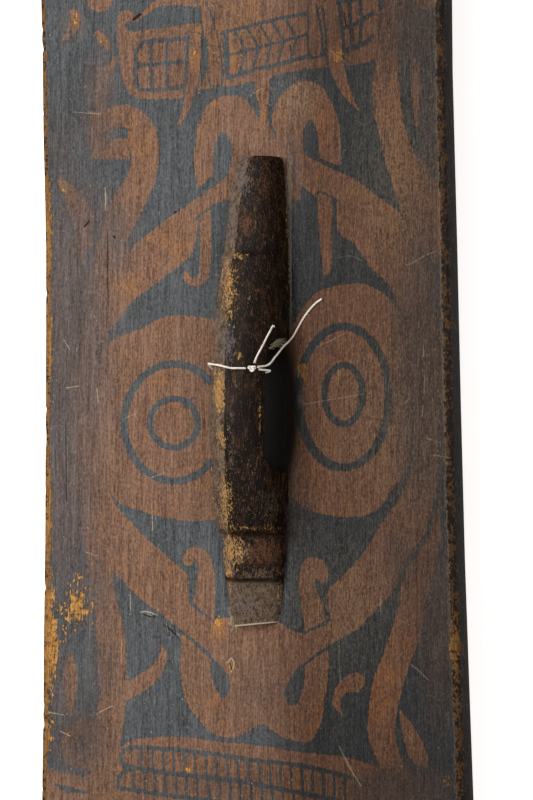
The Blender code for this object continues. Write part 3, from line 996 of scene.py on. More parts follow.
@dataclass(frozen=True)
class TwistedString:
    """Two plies twisted round a route, made with Geometry Nodes."""

    diameter: float
    pitch: float = 0.0034
    step: float = 0.0004
    sides: int = 7
    ply_offset: float = 0.245
    ply_radius: float = 0.262

    def tree(self) -> bpy.types.NodeTree:
        """Build the node tree, whose inputs are the string's sizes and its material."""
        tree = bpy.data.node_groups.new("twisted string", "GeometryNodeTree")
        sockets = {"Geometry": "Geometry", "Ply offset": "Float", "Ply radius": "Float", "Pitch": "Float",
                   "Step": "Float", "Material": "Material"}
        for name, kind in sockets.items():
            tree.interface.new_socket(name, in_out="INPUT", socket_type=f"NodeSocket{kind}")
        tree.interface.new_socket("Geometry", in_out="OUTPUT", socket_type="NodeSocketGeometry")
        nodes = NodeWriter(tree)
        given = nodes.add(Kind.GIVEN).outputs
        even = nodes.add(Kind.EVEN, given["Geometry"], given["Step"])
        normal = nodes.add(Kind.NORMAL)
        aside = nodes.add(Kind.VECTORS, nodes.add(Kind.TANGENT), normal, operation="CROSS_PRODUCT")
        turns = nodes.add(Kind.MATH, nodes.add(Kind.ALONG), given["Pitch"], operation="DIVIDE")
        angle = nodes.add(Kind.MATH, turns, 2 * math.pi, operation="MULTIPLY")
        circle = nodes.add(Kind.CIRCLE, self.sides, given["Ply radius"])
        joined = nodes.add(Kind.JOINED)
        for start in (0.0, math.pi):
            phase = nodes.add(Kind.MATH, angle, start, operation="ADD")
            moved = []
            for wave, axis in (("COSINE", normal), ("SINE", aside)):
                share = nodes.add(Kind.MATH, phase, operation=wave)
                reach = nodes.add(Kind.MATH, share, given["Ply offset"], operation="MULTIPLY")
                moved.append(nodes.add(Kind.TIMES, axis, reach))
            ply = nodes.add(Kind.MOVED, even, nodes.add(Kind.VECTORS, *moved))
            nodes.feed(joined, {0: nodes.add(Kind.TUBE, ply, circle, True)})
        real = nodes.add(Kind.REAL, joined.outputs[0])
        nodes.add(Kind.RESULT, nodes.add(Kind.COATED, real, given["Material"]))
        return tree

    def build(self, name: str, route: np.ndarray, material: bpy.types.Material,
              tree: bpy.types.NodeTree, closed: bool = False) -> bpy.types.Object:
        """Make one length of string.

        Args:
            name: the piece's name.
            route: (n, 3) the points that it follows.
            material: its finish.
            tree: the node tree that twists the plies.
            closed: whether the route runs back to its start.

        Returns:
            The piece, as a plain mesh.
        """
        curve = bpy.data.curves.new(name, "CURVE")
        curve.dimensions = "3D"
        spline = curve.splines.new("POLY")
        spline.points.add(len(route) - 1)
        spline.points.foreach_set("co", np.column_stack([route, np.ones(len(route))]).ravel())
        spline.use_cyclic_u = closed
        drawn = bpy.data.objects.new(f"{name} route", curve)
        bpy.context.scene.collection.objects.link(drawn)
        step = drawn.modifiers.new("twist", "NODES")
        step.node_group = tree
        values = {
            "Ply offset": self.ply_offset * self.diameter,
            "Ply radius": self.ply_radius * self.diameter,
            "Pitch": self.pitch,
            "Step": self.step,
            "Material": material,
        }
        for socket in tree.interface.items_tree:
            if socket.in_out == "INPUT" and socket.name in values:
                step[socket.identifier] = values[socket.name]
        made = baked(drawn, name)
        made.data.shade_smooth()
        return made


@dataclass(frozen=True)
class Shape:
    """One painted form in photograph pixels: an area of (x, y), or a stroke of (x, y, half width)."""

    paint: Paint
    points: tuple
    reach: float = 9.0

    @property
    def is_stroke(self) -> bool:
        """Whether it is a stroke and not an area."""
        return len(self.points[0]) == 3

    def line(self, step: float) -> np.ndarray:
        """Give its smooth outline or middle line, closed by repeating the first point."""
        line = smooth_line(self.points, step, closed=not self.is_stroke)
        return line if self.is_stroke else np.concatenate([line, line[:1]])

    def depth(self, at: np.ndarray) -> np.ndarray:
        """Measure how far inside the shape places are.

        Args:
            at: (n, 2) pixels.

        Returns:
            Pixels inwards from its edge, and below zero outside, held within its reach.
        """
        line = self.line(3.5)
        found = np.full(len(at), -self.reach)
        wide = self.reach + (line[:, 2].max() if self.is_stroke else 0.0)
        near = np.all((at > line[:, :2].min(axis=0) - wide) & (at < line[:, :2].max(axis=0) + wide), axis=1)
        where = np.flatnonzero(near)
        start, end = line[:-1], line[1:]
        run = (end - start)[:, :2]
        square = np.maximum((run**2).sum(axis=1), 1e-9)
        for part in np.array_split(where, max(1, len(where) * len(line) // 2_000_000 + 1)):
            p = at[part][:, None]
            gap = p - start[:, :2]
            share = np.clip((gap * run).sum(axis=2) / square, 0, 1)
            away = np.linalg.norm(gap - share[..., None] * run, axis=2)
            if self.is_stroke:
                inside = (start[:, 2] + share * (end - start)[:, 2] - away).max(axis=1)
            else:
                above = (start[:, 1] > p[..., 1]) != (end[:, 1] > p[..., 1])
                rise = np.where(run[:, 1] == 0, 1.0, run[:, 1])
                crossing = start[:, 0] + (p[..., 1] - start[:, 1]) * run[:, 0] / rise
                odd = (above & (p[..., 0] < crossing)).sum(axis=1) % 2
                inside = away.min(axis=1) * (2 * odd - 1)
            found[part] = np.clip(inside, -self.reach, self.reach)
        return found

    def edge_rows(self, step: float, aside: float) -> np.ndarray:
        """Give rows of points along its edges, for the board's mesh.

        Args:
            step: the distance between points along.
            aside: the distance of the rows on both sides of an edge.

        Returns:
            (n, 2) pixels.
        """
        line = self.line(step)
        normal = line_normals(line[:, :2].copy(), False)
        if not self.is_stroke:
            return np.concatenate([line + normal * k * aside for k in (-1, 0, 1)])
        half = line[:, 2:]
        rows = [line[:, :2]]
        for side in (-1, 1):
            rows += [line[:, :2] + normal * side * (half + k * aside) for k in (0, 1)]
            rows.append((line[:, :2] + normal * side * (half - aside))[line[:, 2] > 2 * aside])
        return np.concatenate(rows)


def arc(centre: tuple, radii: tuple, degrees: tuple, half_width: float) -> tuple:
    """Give the points of a stroke round an ellipse.

    Args:
        centre: its centre in pixels.
        radii: its radii across and down.
        degrees: where it starts and ends, clockwise from the right as seen.
        half_width: the stroke's half width.

    Returns:
        Points of (x, y, half width).
    """
    turn = np.radians(np.linspace(degrees[0], degrees[1], 25))
    return tuple((centre[0] + radii[0] * math.cos(t), centre[1] + radii[1] * math.sin(t), half_width)
                 for t in turn)


def between(upper: tuple, lower: tuple, places: np.ndarray, slant: float, half_width: float) -> list:
    """Give short strokes that part a row of teeth.

    Args:
        upper: the row's upper line as (x, y) points.
        lower: the row's lower line as (x, y) points.
        places: where each stroke leaves the upper line, across.
        slant: how far its lower end lies to the right.
        half_width: the strokes' half width.

    Returns:
        Blue strokes.
    """
    made = []
    for x in places:
        top = np.interp(x, *np.array(upper).T)
        foot = np.interp(x + slant, *np.array(lower).T)
        made.append(Shape(Paint.BLUE, ((x, top, half_width), (x + slant, foot, half_width))))
    return made


def outlined(points: tuple, edge: float = 1.7) -> list:
    """Give a brown stroke with a blue line round it."""
    wider = tuple((x, y, half + edge) for x, y, half in points)
    return [Shape(Paint.BLUE, wider), Shape(Paint.BROWN, points)]


def mirrored(points: tuple, axis: float = 262.0) -> tuple:
    """Give a stroke's points on the other side of the valley."""
    return tuple((2 * axis - x, y, half) for x, y, half in points)


@dataclass(frozen=True)
class Ornament:
    """The traditional painted hooks, eyes and mouths, in brown on a blue-black ground.

    Forms are in the order in which they were painted, each over the ones before it. The two
    pointed ends lie outside the photograph and carry plainer hooks of the same kind.
    """

    teeth_half_width: float = 1.15

    def faces(self) -> list:
        """The brow and cheek bands and the fields of the two eyes."""
        brown = Paint.BROWN
        return [
            brown.area(
                240, 165, 240, 165, 232.5, 172, 208, 191, 176, 213, 148, 234, 120.5, 258, 103, 280,
                89, 310, 80, 345, 75, 390, 74, 440, 78, 500, 84, 535, 92, 555.5, 118.6, 576.5,
                141.6, 599.5, 162.6, 615, 183.7, 632, 206.6, 651, 214, 662.6, 214, 662.6, 245, 680,
                245, 640, 214, 621.5, 214, 621.5, 191, 605, 188.4, 592, 186.5, 574.6, 172, 561, 153, 544,
                134, 525, 115, 504, 107, 486, 101.6, 474, 101.6, 474, 95, 440, 92, 400, 95, 362, 95, 362,
                107, 336, 120.5, 317, 134, 300, 155, 284, 172, 271, 191, 255, 196, 235, 198, 217,
                198, 217, 215, 205, 240, 190, 240, 190),
            brown.area(
                240, 320, 240, 320, 215, 320, 200, 317, 172, 315.5, 155, 320.6, 144.6, 327.5, 127, 334,
                112, 341, 95, 362, 95, 362, 90, 400, 92, 450, 101.6, 474, 101.6, 474, 108, 487,
                118.6, 502, 137.7, 509.6, 162.6, 517, 191, 521, 212, 520, 240, 520, 240, 520),
            brown.area(
                284, 340, 284, 340, 290, 330, 303.5, 307.5, 317.5, 291.8, 338, 285.7, 357.5, 283,
                373, 287.4, 387, 297, 399, 312.7, 407, 340, 412, 380, 413, 420, 411.5, 438, 409.7, 459,
                402.8, 474.6, 388.8, 493.7, 378, 509.4, 357.5, 516.4, 336.6, 516.4, 312, 511, 295, 500.7,
                284, 490, 284, 490),
            brown.area(
                275, 150, 275, 150, 305, 153, 319, 162, 338, 171.5, 357.5, 181, 378, 196.7, 392, 207,
                402.8, 217.6, 409.7, 228, 418, 245, 428, 275, 436, 320, 440, 370, 441, 420, 438, 470,
                433, 505, 426.4, 530.6, 416.9, 546, 407, 557, 397.7, 576.5, 392, 592, 374.8, 611,
                355.7, 630, 336.5, 641.6, 317.4, 653, 304, 664.5, 304, 664.5, 270, 690, 270, 640,
                306, 632, 327, 622.4, 327, 622.4, 327, 593.7, 336.5, 582, 353.7, 565, 367, 548,
                374.8, 534.4, 386, 517, 399, 499, 409, 480, 415, 460, 415, 437, 415, 437, 405, 420,
                400, 380, 400, 340, 404.5, 318, 404.5, 318, 396.8, 299, 388, 283, 372, 268.5, 362, 255,
                354, 243.7, 339, 231.5, 336.6, 200, 336.6, 200, 320, 191.5, 316.6, 196.7, 300, 185,
                275, 180, 275, 180),
        ]

    def eyes(self) -> list:
        """The two rings of each eye."""
        blue = Paint.BLUE
        return [
            Shape(blue, arc((174, 422.6), (50, 58.5), (-45, -318), 3.85)),
            Shape(blue, arc((174, 423), (24, 24.5), (0, 360), 3.2)),
            blue.stroke(187, 406, 3, 190, 402, 2.4, 194, 397, 0.8),
            Shape(blue, arc((343.6, 397), (45.4, 70.5), (150, 470), 4.1)),
            Shape(blue, arc((343.2, 397), (45, 70.5), (100, 160), 4.7)),
            Shape(blue, arc((343.6, 394.5), (19, 29.6), (0, 360), 3.3)),
        ]

    def upper_hooks(self) -> list:
        """The curls over the handle, the hooks under the brows and the bands at the sides."""
        brown, blue = Paint.BROWN, Paint.BLUE
        return [
            brown.stroke(
                205.5, 208, 5.5, 205.5, 240, 5.5, 205.3, 262, 5.2, 204, 274, 4.8, 199, 281.5, 4.2,
                192, 281.5, 4.2, 186.5, 277, 3.5, 186, 272, 1.5),
            blue.stroke(196, 219, 1.2, 206, 211, 1.2, 217, 203, 1),
            brown.stroke(324.5, 193, 7, 325, 215, 7, 326, 240, 6, 327, 260, 4.8, 327, 272, 3.6),
            blue.stroke(315, 196, 1, 321, 192, 1.3, 338, 201, 1),
            brown.area(
                198, 189, 198, 189, 194, 164, 195, 146, 200, 121, 207, 107, 220, 97, 238, 96, 248, 102,
                257, 117, 262, 140, 262, 175, 240, 180, 226, 172, 213.5, 176, 213.5, 176),
            brown.area(
                255, 70, 255, 70, 269.6, 70, 269.6, 70, 269.6, 104.5, 268.7, 118.4, 272, 128, 276.5, 139,
                290, 150, 300, 160, 300, 200, 300, 200, 225, 200, 225, 200, 236, 170, 256, 150,
                259.5, 117, 257, 102, 255, 90),
            brown.area(
                270, 145, 270, 145, 272, 120, 276, 104, 282.6, 94, 294.8, 83.6, 308.7, 81, 321, 87,
                329.6, 99, 336.6, 115, 340, 132, 341, 165.4, 341, 165.4, 332, 163, 322, 161, 318, 158,
                305, 165, 290, 170, 270, 170, 270, 170),
            blue.area(
                223, 132, 230, 140, 232.8, 152, 231, 163, 231, 168, 231, 168, 208, 188, 189, 200,
                189, 200, 186, 196, 198, 188, 198, 188, 213.5, 175, 213.5, 175, 213.5, 155, 216, 140),
            blue.area(
                310.5, 119, 316, 128, 318.5, 142, 320, 156.7, 326, 160.5, 340, 169, 352, 177.6,
                352, 177.6, 338, 171.8, 319, 162.5, 305, 154, 302.7, 142, 304, 128),
            blue.stroke(
                193, 97, 1, 205, 92.5, 2.6, 218, 90.5, 3, 236, 89, 3, 248, 92.5, 3, 256, 102, 2.6,
                259.5, 117, 0.8),
            blue.stroke(
                276.5, 139, 0.5, 274, 132, 1, 268.7, 118.4, 1.2, 269.6, 105, 1.6, 272.5, 89, 3,
                281, 80.5, 3.5, 300, 75.5, 3.3, 329.6, 72.5, 2.4),
            brown.area(
                108, 110, 127, 105, 148, 117, 158, 138, 159, 155, 155, 181, 146, 203, 134, 227, 120, 254,
                120, 254, 105, 285, 86, 318, 86, 318, 93, 262, 102, 229, 110, 207, 119, 189, 128, 174,
                131, 155, 128, 127, 118, 119),
            brown.area(91, 112, 91, 112, 91, 159, 91, 159, 129, 159, 129, 159, 131, 112),
            blue.area(109, 127, 109, 127, 109, 139, 109, 139, 128, 139, 128, 139, 128, 127, 128, 127),
            brown.area(
                380, 30, 375.8, 64.4, 373, 78, 373, 104.5, 378.4, 132, 385, 160, 392, 181, 399, 203.7,
                406, 222, 430, 260, 446, 240, 446, 200, 427, 169, 416.7, 156.7, 408, 139, 402.8, 118,
                399, 87, 397.5, 68, 400, 30),
            brown.stroke(415.5, 60, 2.5, 415.5, 90, 4.2, 416, 124, 2),
            brown.stroke(71, 10, 1.5, 76, 18, 5.5, 73, 30, 4, 62, 40, 1),
            brown.stroke(97, 33, 3, 104, 42, 4.5, 111, 50, 1.5),
            brown.stroke(116, 60, 3, 103, 78, 6, 100, 100, 5, 104, 114, 3),
            brown.stroke(60, 180, 2, 76, 200, 8, 84, 235, 9, 80, 262, 3),
        ]

    def upper_mouth(self) -> list:
        """The mouth over the handle, with its teeth and tusks."""
        brown, blue, thin = Paint.BROWN, Paint.BLUE, self.teeth_half_width
        top = ((222.7, 32.7), (249, 26), (271.6, 20.4), (290, 16.5), (308.4, 13.3))
        middle = ((224, 56), (249, 50), (275.7, 43), (307, 34.7))
        low = ((229, 77.6), (255, 70), (271.6, 66), (287, 62), (322.7, 52))
        shapes = [
            brown.area(
                160, -8, 160, -8, 152, 3, 142, 12, 136, 16, 131, 11, 124, 10, 118.5, 15, 117.5, 24,
                118, 40, 120, 60, 124, 84, 136, 97.5, 160, 99, 184, 97.5, 198, 90, 230, 87, 256, 80,
                270, 77, 281, 74, 300, 70, 329.6, 67, 345, 66, 372, 60, 378, 40, 378, -8, 378, -8),
            blue.area(
                125, 24, 129, 21, 134, 22, 140, 18, 150, 12, 158, 7, 168, 5, 186, 6, 205, 7, 205, 7,
                205, 22, 205, 22, 188, 24, 168, 27, 148, 30, 133, 32, 126, 29),
            blue.stroke(138, 49, 1.9, 142, 43.5, 2.2, 150, 41, 2.3, 172, 39.5, 2.2, 200, 37, 2.2),
            blue.stroke(136, 69, 1.9, 139, 66, 2, 150, 64.5, 1.8, 187, 61.5, 1.8),
            blue.stroke(138, 89.5, 1.8, 160, 90, 2, 187, 85.5, 2.2),
            blue.stroke(138, 48, 2, 135.5, 56, 2.1, 137, 64, 1.9, 135.5, 72, 2.1, 138.5, 88, 2.2),
            blue.stroke(151.3, 41, 1.7, 150.8, 65, 1.6, 152.5, 89, 1.7),
            blue.stroke(167, 41, 1.7, 166.7, 65, 1.6, 167.5, 89, 1.7),
            blue.stroke(188, 38, 2.2, 187, 62, 2.2, 186.5, 85, 2.4),
            Shape(blue, tuple((x, y, 1.9) for x, y in top)),
            Shape(blue, tuple((x, y, 1.6) for x, y in middle)),
            Shape(blue, tuple((x, y, 2.2) for x, y in low)),
            blue.stroke(308, 57, 2.2, 318, 54.5, 3.4, 327, 51.5, 3.8),
        ]
        # The strokes between the teeth meet in arrow heads that point to the right.
        shapes += between(top, middle, np.arange(234, 296, 12.6), 12, 1.3 * thin)
        shapes += between(middle, low, np.arange(246, 308, 12.6), -6, 1.3 * thin)
        shapes += outlined(((216, 79, 6.6), (213, 50, 6), (208, 25, 5), (201, 0, 3)), 2.2)
        shapes += [
            blue.stroke(204, 36, 1.6, 205.5, 52, 3.4, 204, 70, 2.6, 201, 86, 0.8),
            blue.stroke(224.5, 31, 1.6, 226.5, 50, 3.4, 227, 66, 2.8, 228, 79, 1.8),
        ]
        shapes += outlined(((195.3, 38, 5.2), (194.8, 60, 5.6), (192.5, 80, 5.2), (188.5, 100, 4),
                            (183, 116, 2.4), (176.5, 128, 0.3)), 2.1)
        shapes += [
            blue.stroke(338, 2, 1.9, 352, 0, 1.9, 368, -5, 1.9),
            blue.stroke(340, 29, 2, 352, 25, 2, 362, 20, 2.2, 373, 13, 3),
            blue.stroke(342, 52, 2.4, 356, 47, 2.6, 366, 42, 2.2, 373, 36, 1.6),
            blue.stroke(340, 2, 2, 342, 28, 1.9, 344, 51, 2),
            blue.stroke(349, 1, 1.9, 351, 25, 2.2, 352, 49, 1.7),
            blue.stroke(360, -2, 1.7, 361, 21, 2, 360, 45, 1.7),
            blue.stroke(399, 13, 1.6, 402, 19, 2.4, 410, 21, 2.2, 419, 17, 0.8),
        ]
        shapes += outlined(((315.5, 50, 6), (314.5, 30, 5.4), (312, 7, 3.6)), 2.2)
        shapes += outlined(((330.4, 6, 6.6), (333.5, 30, 7), (336.3, 64, 7), (343, 85, 5.4),
                            (350, 98, 3.4), (359, 111, 0.3)), 2.4)
        return shapes

    def lower_hooks(self) -> list:
        """The canes, curls and bands under the eyes."""
        brown, blue = Paint.BROWN, Paint.BLUE
        return [
            brown.area(
                181.7, 630, 181.7, 640, 180.8, 672, 186.5, 701, 199, 720, 212, 733, 229.6, 738, 243, 734,
                262, 724, 275, 733, 288.7, 739, 307.8, 742, 317.4, 731.5, 323, 710.4, 327, 681.7,
                328, 651, 306, 640, 262, 615, 214, 620),
            blue.area(212, 659, 222, 667, 228.6, 678, 229.6, 691, 223, 699, 214, 685.6, 211, 672),
            blue.area(304, 664.5, 304, 683.7, 298, 702.8, 290.6, 705.7, 284, 695, 286.8, 683.7, 296, 670),
            blue.stroke(160, 615, 0.8, 183.7, 633.5, 1.7, 206.6, 652.5, 1.7, 213, 661, 1.2),
            blue.stroke(357, 630.5, 0.8, 336.5, 643, 1.7, 317.4, 654.5, 1.7, 304.5, 665, 1.2),
            brown.area(
                182.7, 561, 186.5, 551.7, 195, 547, 206.6, 551.7, 213, 565, 215, 586, 214, 620.5,
                214, 620.5, 193, 603, 193, 603, 197, 580, 197, 561, 189, 566),
            blue.stroke(191, 604, 1.1, 203, 612.5, 1.2, 214, 622, 1.1),
            brown.area(
                326, 582, 328, 571, 323, 561, 311.7, 557, 303, 563, 299, 580, 301, 605, 305, 631,
                305, 631, 325, 621, 325, 621, 324, 608, 317.4, 592, 314.5, 578, 322, 583),
            blue.stroke(305, 633, 1.2, 316, 627.5, 1.2, 328, 622, 1.2, 327.5, 600, 1),
            brown.area(
                113, 687.5, 134, 678, 151, 666, 160.7, 653, 157, 642.5, 157, 642.5, 166.4, 651,
                164.5, 668, 153, 683.7, 134, 697, 115, 704.7, 108, 700),
            brown.area(
                88, 556, 88, 556, 92, 590, 95.7, 615, 99.5, 672, 99.5, 701, 95.7, 716, 89, 725, 80, 720,
                70, 728, 63, 739, 61, 750, 63, 758, 76.5, 768, 95, 773, 116.7, 758, 120.5, 741,
                125, 708.5, 126, 662.6, 122.4, 624, 115, 595.7, 110, 570, 110, 570),
            brown.area(71, 654, 77, 675, 76, 695, 71, 714, 66, 697, 66, 675),
            brown.area(44, 768, 44, 768, 75, 775, 105, 782, 118, 800, 106, 850, 44, 850, 44, 850),
            blue.stroke(54, 756, 1, 72, 767, 2.4, 94, 773, 0.8),
            blue.stroke(53, 784, 0.8, 70, 790, 3, 89, 793, 0.8),
            brown.area(
                440, 500, 440, 500, 429, 535, 415, 557, 405, 574, 400, 595, 396, 615, 384, 653, 373, 682,
                369, 710, 369, 739, 376.7, 758, 386, 777, 394, 800, 420, 812, 409, 780, 401.6, 760,
                396, 739, 396, 720, 401.6, 691, 409, 666, 417, 643.5, 424.5, 615, 433, 580, 440, 545,
                440, 545),
            brown.area(
                399.7, 709.5, 399.7, 709.5, 413, 726, 424.5, 747, 428, 768, 428, 768, 413, 762, 404, 740),
            brown.area(
                365, 677, 353.7, 673, 340, 681.7, 333.7, 695, 333.7, 706.6, 344, 716, 344, 716,
                340, 702.8, 346, 693, 359.5, 691),
        ]

    def lower_mouth(self) -> list:
        """The mouth under the handle, with its rows of teeth."""
        brown, blue, thin = Paint.BROWN, Paint.BLUE, 1.25 * self.teeth_half_width
        top = ((126, 749.5), (134, 747.5), (162.6, 748.7), (210, 753.5), (260, 761), (298, 765),
               (336.5, 773.6), (355.7, 780), (374.8, 789))
        middle = ((124, 766), (172, 773.6), (229.6, 780), (260, 785), (298, 792.7), (340, 801), (374, 812))
        low = ((122, 788), (172, 796), (229.6, 803), (298, 816), (340, 825), (372, 836))
        shapes = [
            brown.area(
                124, 745, 138, 739, 162.6, 737, 191, 738, 220, 742, 270, 747, 288.7, 750.6, 317.4, 754.4,
                342, 756.4, 367, 764, 382.4, 775.5, 392, 800, 394, 835, 380, 862, 320, 860, 240, 846,
                160, 838, 124, 830, 102, 810, 96, 790, 86, 776, 100, 768, 112, 757),
            blue.stroke(272, 731, 1.6, 285, 744, 2.6, 300, 749, 2.8, 314, 752, 1.2),
        ]
        for line, half in ((top, 2.3), (middle, 2.4), (low, 2.2)):
            shapes.append(Shape(blue, tuple((x, y, half) for x, y in line)))
        shapes += [
            blue.stroke(127, 749.5, 1.8, 122, 753, 1.8, 120.5, 759, 1.8, 122, 764, 2.4, 127, 766, 2.8),
            blue.stroke(134, 768.5, 2.4, 124, 772, 2, 119, 778, 2.2, 118, 786, 2.2, 123, 789, 3),
        ]
        shapes += between(top, middle, np.arange(141, 372, 10.7), 1, thin)
        shapes += between(middle, low, np.arange(133, 372, 10.7), 1, thin)
        return shapes

    def ends(self) -> list:
        """Plainer hooks on the two pointed ends, which the photograph doesn't show."""
        half_of_them = (
            ((150, -14, 10), (140, -60, 11), (165, -120, 11), (205, -190, 10), (240, -260, 8),
             (258, -300, 3)),
            ((252, -10, 9), (240, -60, 10), (215, -90, 9), (192, -76, 7), (195, -52, 5),
             (210, -52, 2.5)),
            ((100, 0, 12), (82, -40, 12), (92, -90, 10), (124, -140, 8), (160, -190, 5)),
            ((150, 868, 11), (160, 930, 11), (195, 1000, 10), (235, 1060, 8), (256, 1090, 3)),
            ((252, 858, 9), (240, 890, 10), (215, 915, 9), (192, 901, 7), (198, 878, 5),
             (212, 880, 2.5)),
            ((92, 850, 12), (86, 890, 11), (108, 940, 9), (140, 985, 5)),
        )
        shapes = []
        for points in half_of_them:
            shapes += [Shape(Paint.BROWN, points), Shape(Paint.BROWN, mirrored(points))]
        for middle, reach in ((-155, 44), (970, 42)):
            lozenge = ((262, middle - reach), (285, middle), (262, middle + reach), (239, middle))
            inner = ((262, middle - reach / 2), (272, middle), (262, middle + reach / 2), (252, middle))
            shapes += [Shape(Paint.BROWN, lozenge), Shape(Paint.BLUE, inner)]
        shapes.append(Paint.BROWN.stroke(388, 60, 10, 391, 30, 11, 398, -10, 11))
        return shapes

    def shapes(self) -> list:
        """Every painted form, in order."""
        return (self.faces() + self.eyes() + self.ends() + self.upper_mouth() + self.upper_hooks()
                + self.lower_hooks() + self.lower_mouth())


@dataclass(frozen=True)
class Spot:
    """A soft oval mark, placed by the photograph: its centre, radii and strength."""

    x_px: float
    y_px: float
    across_px: float
    down_px: float
    strength: float = 1.0

    def at(self, pixels: np.ndarray) -> np.ndarray:
        """Give the mark's strength at each pixel."""
        across = (pixels[:, 0] - self.x_px) / self.across_px
        down = (pixels[:, 1] - self.y_px) / self.down_px
        return self.strength * np.exp(-(across**2 + down**2))


